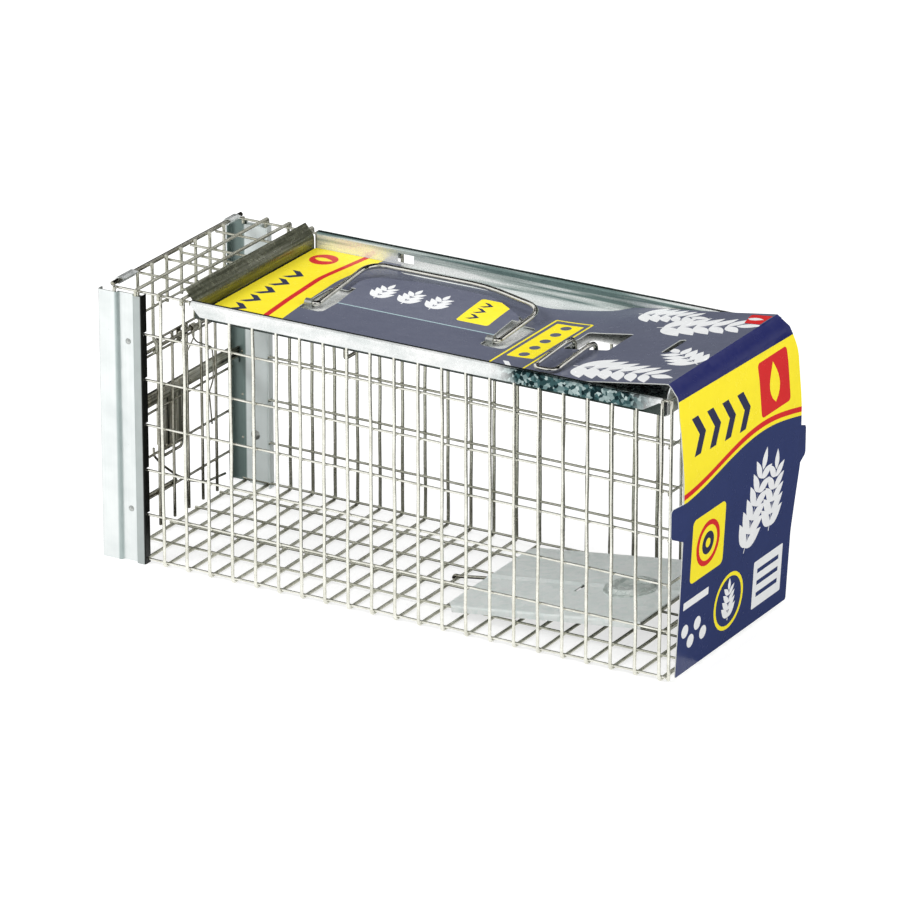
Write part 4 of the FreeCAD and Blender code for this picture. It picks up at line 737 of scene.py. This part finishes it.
# ---- Card ----
# On the flat card s runs from the front edge over the ridge and down the back, and y across.
CARD_T = 0.6
CARD_HALF = 72.0
CARD_BACK_HALF = 76.0
CARD_X0, CARD_BEND_X = 57.5, 275.0
CARD_Z = TRAY_TOP + 1.2
RIDGE_X, RIDGE_Z = BAYS * PITCH + 2.5, TRAY_TOP + 20.1
BACK = REAR_X + UPRIGHT_R + 8.6
BACK_FOOT = REAR_X + UPRIGHT_R + 3.2
TAB_ENDS = (119.5, 95)  # heights where a side tab begins and ends
TAB_CORNERS = (117, 98)
NEAR_TAB_FOLD = (0.5, 0.85)  # a tab reaches inwards and outwards by these shares
FAR_TAB_FOLD = (0.1, 0.99)
FLAP_Y = -9.0  # crease of the tongue inside the handle
FLAP_TILT = 5.2  # degrees
FLAP_SAG = 0.5
FLAP_WIDTH = 49.6
BLEED = 78  # half width of the back print, past the card's edges


def card_line():
    """Middle of the card's thickness seen from the side: tray, ramp, ridge and back panel."""
    h = CARD_T / 2
    points = [(CARD_X0, 0, CARD_Z + h), (CARD_BEND_X, 0, CARD_Z + h), (RIDGE_X, 0, RIDGE_Z + h),
              (RIDGE_X + 7, 0, RIDGE_Z - 6.5), (BACK + h - 2.8, 0, RIDGE_Z - 26), (BACK + h, 0, 135),
              (BACK + h, 0, 100), (BACK_FOOT + h, 0, 4)]
    return rounded(points, [0, 300, 1.2, 8, 60, 90, 140, 0], 3.0, turn=1.5)


CARD_LINE = card_line()
CARD_RUN = [0.0]
for a, b in zip(CARD_LINE, CARD_LINE[1:]):
    CARD_RUN.append(CARD_RUN[-1] + (b - a).length)
RIDGE_AT = max(range(len(CARD_LINE)), key=lambda i: CARD_LINE[i].z)
RIDGE_S = CARD_RUN[RIDGE_AT]


def run_to(value, axis, first, last):
    """Distance along the card at which part of its line reaches a value on an axis."""
    for i in range(first, last):
        a, b = CARD_LINE[i][axis], CARD_LINE[i + 1][axis]
        if min(a, b) <= value <= max(a, b):
            return CARD_RUN[i] + (CARD_RUN[i + 1] - CARD_RUN[i]) * (value - a) / (b - a)
    return CARD_RUN[last]


def s_top(x):
    """Distance to a place on the top."""
    return run_to(x, 0, 0, RIDGE_AT)


def s_back(z):
    """Distance to a height on the back panel."""
    return run_to(z, 2, RIDGE_AT, len(CARD_LINE) - 1)


def on_card(s, y, lift):
    """Point on the bent card, from its flat layout; the side tabs are folded inwards."""
    s = min(max(s, 0.0), CARD_RUN[-1] - 1e-6)
    i = next(k for k in range(len(CARD_RUN) - 1) if s < CARD_RUN[k + 1])
    a, b = CARD_LINE[i], CARD_LINE[i + 1]
    before, after = CARD_LINE[max(i - 1, 0)], CARD_LINE[min(i + 2, len(CARD_LINE) - 1)]
    part = (s - CARD_RUN[i]) / (CARD_RUN[i + 1] - CARD_RUN[i])
    ahead = ((b - before).normalized().lerp((after - a).normalized(), part)).normalized()
    up = Vector((-ahead.z, 0, ahead.x))
    p = a.lerp(b, part) + up * (lift + 0.12 * wave(3.0, s / 22) * wave(1.0, y / 30))
    beyond = abs(y) - CARD_BACK_HALF
    if beyond > 0:
        inwards, outwards = NEAR_TAB_FOLD if y < 0 else FAR_TAB_FOLD
        p = p - up * beyond * inwards
        y = copysign(CARD_BACK_HALF + beyond * outwards, y)
    return Vector((p.x, y, p.z))


def on_flap(s, y, lift):
    """Point on the tongue, which springs up a little."""
    p = on_card(s, y, lift)
    c, n = cos(radians(FLAP_TILT)), sin(radians(FLAP_TILT))
    reach = y - FLAP_Y
    sag = FLAP_SAG * sin(pi * min(1.0, max(0.0, reach / FLAP_WIDTH)))
    return Vector((p.x, FLAP_Y + reach * c - lift * n, p.z + reach * n + sag))


def loop_of(points):
    """Closed flat outline from corners (s, y) or rounded corners (s, y, radius)."""
    radii = [p[2] if len(p) > 2 else 0 for p in points]
    line = rounded([(p[0], p[1], 0) for p in points], radii, 6.0, True, 12)
    return [(p.x, p.y) for p in line[:-1]]


def frame_of(s0, s1, y0, y1, r=0.0):
    """Rectangle with rounded corners."""
    return loop_of([(s0, y0, r), (s1, y0, r), (s1, y1, r), (s0, y1, r)])


def disc(s, y, r, count=28):
    """Circle as a polygon."""
    turns = [2 * pi * k / count for k in range(count)]
    return [(s + r * cos(turn), y + r * sin(turn)) for turn in turns]


def leaf(s, y, length, width, heading):
    """Pointed leaf that grows from (s, y)."""
    c, n = cos(radians(heading)), sin(radians(heading))
    outline = []
    for k in range(16):
        t = min(k, 16 - k) / 8
        w = width / 2 * sin(pi * t ** 0.8) * (1 if k <= 8 else -1)
        outline.append((s + length * t * c - w * n, y + length * t * n + w * c))
    return outline


def chevron(s, y, size, thick, point):
    """Arrow head of two slanted bars."""
    end = s + thick
    return [(s, y - size), (end, y - size), (end + point, y), (end, y + size), (s, y + size), (s + point, y)]


def back_arrow(z, y):
    """Broad arrow head on the back panel, pointing to the far side."""
    return [(s_back(z + 12), y), (s_back(z + 12), y + 8), (s_back(z), y + 16), (s_back(z - 12), y + 8),
            (s_back(z - 12), y), (s_back(z), y + 8)]


def wavy(z, y):
    """Place on the back panel, on a wavy line about a height."""
    return (s_back(z + 7 * sin((y + 30) / 34)), y)


def sprig(s, y, heading, leaves, length, colour):
    """A stem with pairs of leaves."""
    c, n = cos(radians(heading)), sin(radians(heading))
    spacing = length * 0.42
    tip = (s + leaves * spacing * c, y + leaves * spacing * n)
    made = [([(s - 0.4 * n, y + 0.4 * c), tip, (s + 0.4 * n, y - 0.4 * c)], colour)]
    for k in range(leaves):
        a, b = s + (k + 0.4) * spacing * c, y + (k + 0.4) * spacing * n
        grow = length * (1 - 0.35 * k / leaves)
        for side in (-48, 48):
            made.append((leaf(a, b, grow, grow * 0.42, heading + side), colour))
    made.append((leaf(*tip, length * 0.7, length * 0.3, heading), colour))
    return made


def inside(point, outline):
    """Whether a point lies within an outline."""
    x, y = point
    hit = False
    for (x0, y0), (x1, y1) in zip(outline, outline[1:] + outline[:1]):
        if (y0 > y) != (y1 > y) and x < x0 + (y - y0) * (x1 - x0) / (y1 - y0):
            hit = not hit
    return hit


def flat_triangles(outline, holes, prints):
    """Corners and triangles of the flat card, cut along every outline."""
    points, edges = [], []
    for shape in [outline, *holes, *[p[0] for p in prints]]:
        start = len(points)
        points += [Vector(p) for p in shape]
        edges += [(start + i, start + (i + 1) % len(shape)) for i in range(len(shape))]
    low = [min(p[i] for p in outline) for i in (0, 1)]
    high = [max(p[i] for p in outline) for i in (0, 1)]
    s = low[0] + 2
    while s < high[0]:
        y = low[1] + 4
        while y < high[1]:
            points.append(Vector((s + 0.3 * wave(s, y), y)))
            y += 11.0
        s += 3.1 if s > s_top(CARD_BEND_X) - 30 else 9.0
    verts, _, tris, _, _, _ = delaunay_2d_cdt(points, edges, [], 0, 0.001)
    return verts, [tuple(tri) for tri in tris]


def ink_at(point, prints):
    """Ink of a flat point: the last print drawn over it, or else the ground colour."""
    # Ground of the top: navy with painted sheen
    found = SHEEN_TOP_NAVY if point.x < RIDGE_S else BACK_NAVY
    for shape, colour in prints:
        if inside(point, shape):
            found = colour
    return found


def rim_edges(tris):
    """Edges that belong to one triangle only."""
    edges = [edge for tri in tris for edge in zip(tri, tri[1:] + tri[:1])]
    count = {}
    for edge in edges:
        count[frozenset(edge)] = count.get(frozenset(edge), 0) + 1
    return [edge for edge in edges if count[frozenset(edge)] == 1]


def printed(name, outline, holes, prints, place, *nodes):
    """Card cut to an outline with holes, with its printed areas as faces of their own."""
    verts, tris = flat_triangles(outline, holes, prints)
    kept, inks = [], []
    for tri in tris:
        middle = sum((verts[i] for i in tri), Vector((0, 0))) / len(tri)
        if inside(middle, outline) and not any(inside(middle, hole) for hole in holes):
            kept.append(tri)
            inks.append(ink_at(middle, prints))
    used = {}
    for tri in kept:
        for i in tri:
            used.setdefault(i, len(used))
    n = len(used)
    rim = rim_edges(kept)
    top = [place(verts[i].x, verts[i].y, CARD_T / 2) for i in used]
    under = [place(verts[i].x, verts[i].y, -CARD_T / 2) for i in used]
    faces = [tuple(used[i] for i in tri) for tri in kept]
    faces += [tuple(n + used[i] for i in reversed(tri)) for tri in kept]
    faces += [(used[b], used[a], n + used[a], n + used[b]) for a, b in rim]
    shape = Shape()
    shape.add(top + under, faces)
    obj = make(name, shape, INKS[0], "cage", "card", *nodes)
    for other in INKS[1:]:
        obj.data.materials.append(other)
    obj.data.polygons.foreach_set("material_index", inks + [BOARD_INK] * (len(kept) + len(rim)))


def ink(name, colour, shade, gloss):
    """Varnished print on board: faint mottling, fibre and handling marks."""
    m = Nodes(name)
    tone = m.mix(m.noise(26.0, 3.0), colour, shade)
    m.set(Specular_IOR_Level=gloss)
    m.bump((m.noise(1500.0, 3.0), 0.00002), (m.noise(45.0, 2.0), 0.0005))
    return m.finish(tone, m.ramp(m.noise(140.0, 4.0), (0.3, 0.16), (0.7, 0.30)))


SHEEN_TOP_NAVY, BACK_NAVY, DEEP_NAVY, YELLOW, RED, WHITE, BOARD_INK, FOLD_HIGHLIGHT, DARK = range(9)
INKS = [
    # The top's navy is the back's navy made lighter: painted sheen
    ink("ink_top_navy_sheen", (0.105, 0.115, 0.165), (0.135, 0.145, 0.195), 0.3),
    ink("ink_back_navy", (0.028, 0.04, 0.12), (0.036, 0.05, 0.14), 0.12),
    ink("ink_deep_navy", (0.014, 0.018, 0.095), (0.018, 0.022, 0.11), 0.12),
    ink("ink_yellow", (0.93, 0.8, 0.035), (0.9, 0.74, 0.03), 0.22),
    ink("ink_red", (0.66, 0.03, 0.03), (0.56, 0.022, 0.025), 0.22),
    ink("ink_white", (0.82, 0.83, 0.83), (0.76, 0.77, 0.78), 0.22),
    ink("card_board", (0.7, 0.72, 0.7), (0.58, 0.6, 0.58), 0.2),
    # Crease line: the fold's crack, lightened as a painted highlight
    ink("card_fold_highlight", (0.3, 0.44, 0.47), (0.45, 0.58, 0.6), 0.3),
    ink("ink_line", (0.03, 0.034, 0.075), (0.036, 0.04, 0.085), 0.2),
]


def card_outline():
    """Outline of the flat card with its finger notches and side tabs."""
    r, c, b = RIDGE_S, CARD_HALF, CARD_BACK_HALF
    tab_top, tab_foot = [s_back(z) for z in TAB_ENDS]
    tab_high, tab_low = [s_back(z) for z in TAB_CORNERS]
    foot = s_back(4.1)
    notch = [(121, c, 0.6), (128, 58, 8), (200.4, 58, 30), (240.4, 49, 26), (282, 63, 12), (290.2, c, 0.6)]
    notch = [(s_top(x), y, bend) for x, y, bend in notch]
    near = [(0, -c, 2), *[(s, -y, bend) for s, y, bend in notch], (r - 3, -c, 3), (r + 3, -73, 4),
            (s_back(172), -b, 14), (tab_top, -b, 0.5), (tab_high, -b - 9, 3), (tab_low, -b - 9, 3),
            (tab_foot, -b, 0.5), (s_back(51), -b + 1, 30), (foot, -b + 1, 1.5)]
    far = [(foot, b - 6.5, 1.5), (s_back(51), b - 6.5, 30), (s_back(90), b - 0.6, 16), (tab_foot, b, 0.5),
           (tab_low, b + 8, 3), (tab_high, b + 8, 3), (tab_top, b, 0.5), (s_back(170), b, 24),
           (r + 3, 67.2, 6), (r - 30, 68, 20), (r - 90, c, 60), *notch[::-1], (0, c, 2)]
    return loop_of(near + far)


def flap_edge(margin):
    """Outline of the tongue, or of its hole, which is wider by a margin."""
    x0, x1 = HANDLE_X0 + 4.5 - margin - CARD_X0, HANDLE_X1 - 5.0 + margin - CARD_X0
    y1 = HANDLE_Y + 60.6 + margin
    return loop_of([(x0, FLAP_Y), (x0, y1 - 8, 14), (x0 + 40, y1, 60), (x1 - 34, y1, 40), (x1, y1 - 22, 16),
                    (x1, FLAP_Y)])


def windows(r):
    """Openings round the turned ends of the handle."""
    y0, y1 = HANDLE_Y - 8, HANDLE_Y + 34
    return [frame_of(x - CARD_X0 - 9.9, x - CARD_X0 + 8.1, y0, y1, r) for x in (HANDLE_X0, HANDLE_X1)]


def label_box(s0, s1):
    """Framed label with a row of dots and an arrow head."""
    made = [(frame_of(s0, s1, -66, 34, 1.5), YELLOW),
            (frame_of(s0 + 1.4, s1 - 1.4, -64.6, 32.6, 1.0), SHEEN_TOP_NAVY),
            (frame_of(s0 + 4, s1 - 4, -36, 28, 1.0), YELLOW)]
    made += [(disc(s0 + 13.5, -30 + 13 * k, 3.6, 18), SHEEN_TOP_NAVY) for k in range(5)]
    made.append((chevron(s0 + 7, -52, 7, 4, 6), WHITE))
    return made


def top_print():
    """Front block, label box and leaves on the top of the card."""
    block = [(-1, -90), (54, -90), (47, -20, 60), (44, 25, 60), (52, 90), (-1, 90)]
    stripe = [(40, -90), (44, -90), (37, -20, 60), (34, 25, 60),
              (42, 90), (38, 90), (30, 25, 60), (33, -20, 60)]
    patch = [(RIDGE_S - 13, 48, 2), (RIDGE_S - 1, 46, 1), (RIDGE_S - 1, 63, 1), (RIDGE_S - 17, 65, 2)]
    made = [(loop_of(block), YELLOW), (loop_of(stripe), RED)]
    made += [(chevron(9, -46 + 17 * k, 6.6, 5.5, 7.0), DARK) for k in range(5)]
    made += [(disc(16, 55, 9.5), RED), (leaf(9.5, 55, 13, 6, 0), YELLOW)]
    made += label_box(s_top(256), s_top(283))
    for x, y, heading, leaves, length in ((327, 34, 8, 5, 25), (300, 60, -6, 5, 19), (312, -44, -12, 6, 25),
                                          (392, -34, 140, 4, 19)):
        made += sprig(s_top(x), y, heading, leaves, length, WHITE)
    made += [(loop_of(patch), RED), (leaf(RIDGE_S - 15, 57, 12, 5, -8), WHITE)]
    return made


def back_print():
    """Yellow block with a wavy lower edge, label, rings, leaves and bars on the back panel."""
    outwards, inwards = range(-BLEED, BLEED + 1, 6), range(BLEED, -BLEED - 1, -6)
    edge = [(s_back(183.5), -BLEED), (s_back(180), BLEED)]
    made = [([(RIDGE_S, -BLEED), *edge, (RIDGE_S, BLEED)], DEEP_NAVY),
            (edge + [wavy(126, y) for y in inwards], YELLOW),
            ([wavy(132, y) for y in outwards] + [wavy(128.5, y) for y in inwards], RED)]
    made += [(back_arrow(157 - 1.2 * k, -62 + 19 * k), DARK) for k in range(4)]
    made += [(frame_of(s_back(176), s_back(141), 24, 62, 3), RED),
             (leaf(s_back(146), 43, 26, 13, 180), YELLOW),
             (frame_of(s_back(104), s_back(62), -64, -22, 4), YELLOW)]
    made += [(disc(s_back(83), -43, r), c) for r, c in ((15, RED), (11.5, YELLOW), (7.5, DARK), (3, YELLOW))]
    made += sprig(s_back(58), 6, 158, 6, 21, WHITE)
    made += sprig(s_back(62), 38, 172, 5, 19, WHITE)
    made.append((frame_of(s_back(46), s_back(14), 22, 60, 1), WHITE))
    made += [(frame_of(s_back(40 - 8 * k), s_back(37 - 8 * k), 27, 55), BACK_NAVY) for k in range(3)]
    made += [(disc(s_back(32), -10, r), c) for r, c in ((19, YELLOW), (16.4, BACK_NAVY))]
    made += sprig(s_back(19), -10, 180, 4, 12, WHITE)
    made.append((frame_of(s_back(52), s_back(47), -70, -38, 0.5), WHITE))
    made += [(disc(s_back(32 - 9 * (k % 2)), -66 + 8 * k, 4.4, 20), WHITE) for k in range(4)]
    return made


def tongue_print():
    """Pale crease line, the fold's crack with a painted highlight, leaves and a small block of arrow heads on
    the tongue.
    """
    made = [(frame_of(s_top(110), s_top(250), FLAP_Y - 0.1, FLAP_Y + 0.9), FOLD_HIGHLIGHT)]
    for k in range(3):
        made += sprig(s_top(140 + 20 * k), 6, 84, 3, 12, WHITE)
    made.append((frame_of(s_top(203), s_top(226), 0, 34, 2), YELLOW))
    made += [(chevron(s_top(207), 8 + 9 * k, 3.4, 3.5, 5), DARK) for k in range(3)]
    return made


def card():
    """Printed card with openings for the handle and the loop, and its tongue."""
    slots = [frame_of(s_top(287), s_top(319), -13, 20, 2), frame_of(s_top(355.6), s_top(360.4), -14, 12, 2)]
    holes = windows(4) + slots + [flap_edge(2.3)]
    printed("printed_card", card_outline(), holes, top_print() + back_print(), on_card, "card_sleeve")
    printed("card_tongue", flap_edge(0.0), windows(0), tongue_print(), on_flap)


wall("near")
wall("far")
floor()
rear_panel()
roof()
bar("front_bar", "front_top_rod", FRONT_ROD_X, FRONT_ROD_Z, UPRIGHT_Y, FRONT_ROD_R, 3.0, (0.1, 0, 0.1))
header()
bar("hinge_bar", "hinge_rod", HINGE_X, HINGE_Z, HALF, HINGE_R, 1.0)
door()
pull_wire()
spring()
stirrup()
handle()
loop()
card()

FINISHES = {
    (STRIP, "strip"): ["near_guide_strip", "far_guide_strip", "near_backing_strip", "far_backing_strip"],
    (SMALL, "strip"): ["strip_rivets", "front_handle_bracket", "rear_handle_bracket", "bracket_rivets",
                       "loop_brackets", "bell_crank", "crank_hanger", "crank_pin", "trip_rod_guides"],
    (SHADED_DOOR_WIRE, "wire"): ["hinge_clips", "treadle_rod", "trip_link", "trip_rod"],
    (CLIP, "strip"): ["front_rod_clips"], (LOCK, "strip"): ["lock_bar"], (FINGER, "strip"): ["latch_plate"],
    (COVER, "cover"): ["top_cover"],
    (TREADLE, "treadle"): ["treadle_plate"], (DISH, "treadle"): ["bait_dish"],
}
for (material, slot), nodes in FINISHES.items():
    for node in nodes:
        obj = frame["nodes"][node]
        obj.data.materials.clear()
        obj.data.materials.append(material)


# ---- Studio, in metres ----
FLOOR_GLOW = 0.66  # how bright the floor looks
WORLD_LIGHT = 0.62  # light from all round
AIM = (0, 0, 0.09)  # middle of the trap
BOARD_Z = 0.0012  # boards that lie on the floor
CAMERA_AIM = (195.5, 0, 93)  # on the trap, in millimetres
CAMERA_AZIMUTH, CAMERA_ELEVATION = 30.4, 21.51
CAMERA_LENS = 260.63
CAMERA_DISTANCE = 4.083
CAMERA_RIGHT, CAMERA_DOWN = 0.00307, 0.00582


def facing(place, aim):
    """Turn of a lamp or board towards a place."""
    return (Vector(aim) - Vector(place)).to_track_quat("-Z", "Y").to_euler()


def plane(name, centre, size, material):
    """Flat rectangle of the studio."""
    x, y = size[0] / 2, size[1] / 2
    obj = mesh_object(name, [(-x, -y, 0), (x, -y, 0), (x, y, 0), (-x, y, 0)], [(0, 1, 2, 3)], material)
    obj.location = centre
    return obj


def pale_floor():
    """Floor that looks pale by itself but doesn't light the trap by it."""
    m = Nodes("studio_floor")
    m.set(Roughness=0.9, Base_Color=(0.5, 0.5, 0.5, 1), Specular_IOR_Level=0.1)
    m.set(Emission_Color=(1, 1, 1, 1))
    m.link(m.math("MULTIPLY", seen_rays(m.tree), FLOOR_GLOW), m.shader.inputs["Emission Strength"])
    plane("studio_floor", (0, 0, 0), (14, 14), m.material)


def world():
    """White background with a weaker light of its own."""
    w = bpy.data.worlds.new("studio")
    bpy.context.scene.world = w
    w.use_nodes = True
    tree = w.node_tree
    back = tree.nodes["Background"]
    back.inputs["Color"].default_value = (1, 1, 1, 1)
    level = tree.nodes.new("ShaderNodeMapRange")
    tree.links.new(seen_rays(tree), level.inputs["Value"])
    level.inputs["To Min"].default_value = WORLD_LIGHT
    level.inputs["To Max"].default_value = 1.0
    tree.links.new(level.outputs["Result"], back.inputs["Strength"])


def flag(name, place, size, shade, aim=None):
    """Dark board that only reflections show. It lies flat or faces a place."""
    m = Nodes(name)
    m.set(Roughness=1.0, Base_Color=(shade, shade, shade, 1), Specular_IOR_Level=0.0)
    obj = plane(name, place, size, m.material)
    if aim is not None:
        obj.rotation_euler = facing(place, aim)
    obj.visible_camera = False
    obj.visible_diffuse = False
    obj.visible_shadow = False
    obj.visible_transmission = False


def lamp(name, place, size, power):
    """Rectangular light aimed at the trap and hidden from reflections."""
    data = bpy.data.lights.new(name, "AREA")
    data.shape = "RECTANGLE"
    data.size, data.size_y = size
    data.energy = power
    obj = new_object(name, data)
    obj.location = place
    obj.rotation_euler = facing(place, AIM)
    obj.visible_glossy = False


def camera():
    """Long lens that looks down on the near side and the rear."""
    azimuth, elevation = radians(CAMERA_AZIMUTH), radians(CAMERA_ELEVATION)
    right = Vector((cos(azimuth), sin(azimuth), 0))
    level = cos(elevation)
    back = Vector((sin(azimuth) * level, -cos(azimuth) * level, sin(elevation)))
    up = back.cross(right)
    data = bpy.data.cameras.new("camera")
    data.sensor_width = 36.0
    data.lens = CAMERA_LENS
    data.clip_start = 0.1
    data.clip_end = 60.0
    obj = new_object("camera", data)
    obj.matrix_world = Matrix((right, up, back)).transposed().to_4x4()
    obj.location = at(CAMERA_AIM) + right * CAMERA_RIGHT - up * CAMERA_DOWN + back * CAMERA_DISTANCE
    bpy.context.scene.camera = obj


pale_floor()
world()
lamp("key", (-1.9, -1.5, 2.0), (1.2, 1.2), 45)
lamp("top", (0.1, 0.3, 2.6), (1.6, 1.6), 16)
lamp("side", (2.4, -0.7, 1.0), (1.4, 1.4), 34)
flag("board_right", (1.45, -1.05, BOARD_Z), (2.3, 2.0), 0.02)
flag("board_floor", (0.45, 1.18, BOARD_Z), (4.3, 2.44), 0.06)
flag("board_wall", (-0.6, 2.6, 0.9), (5.0, 1.8), 0.02, (-0.2, 0, 0.9))
flag("board_ceiling", (0, 0.9, 2.2), (4.4, 3.4), 0.02)
flag("flag_right", (2.2, 0.9, 0.7), (1.6, 3.4), 0.02, AIM)
flag("flag_camera", (0.9, -2.6, 1.3), (1.4, 1.6), 0.02, AIM)
camera()
bpy.context.scene.view_settings.view_transform = "Standard"
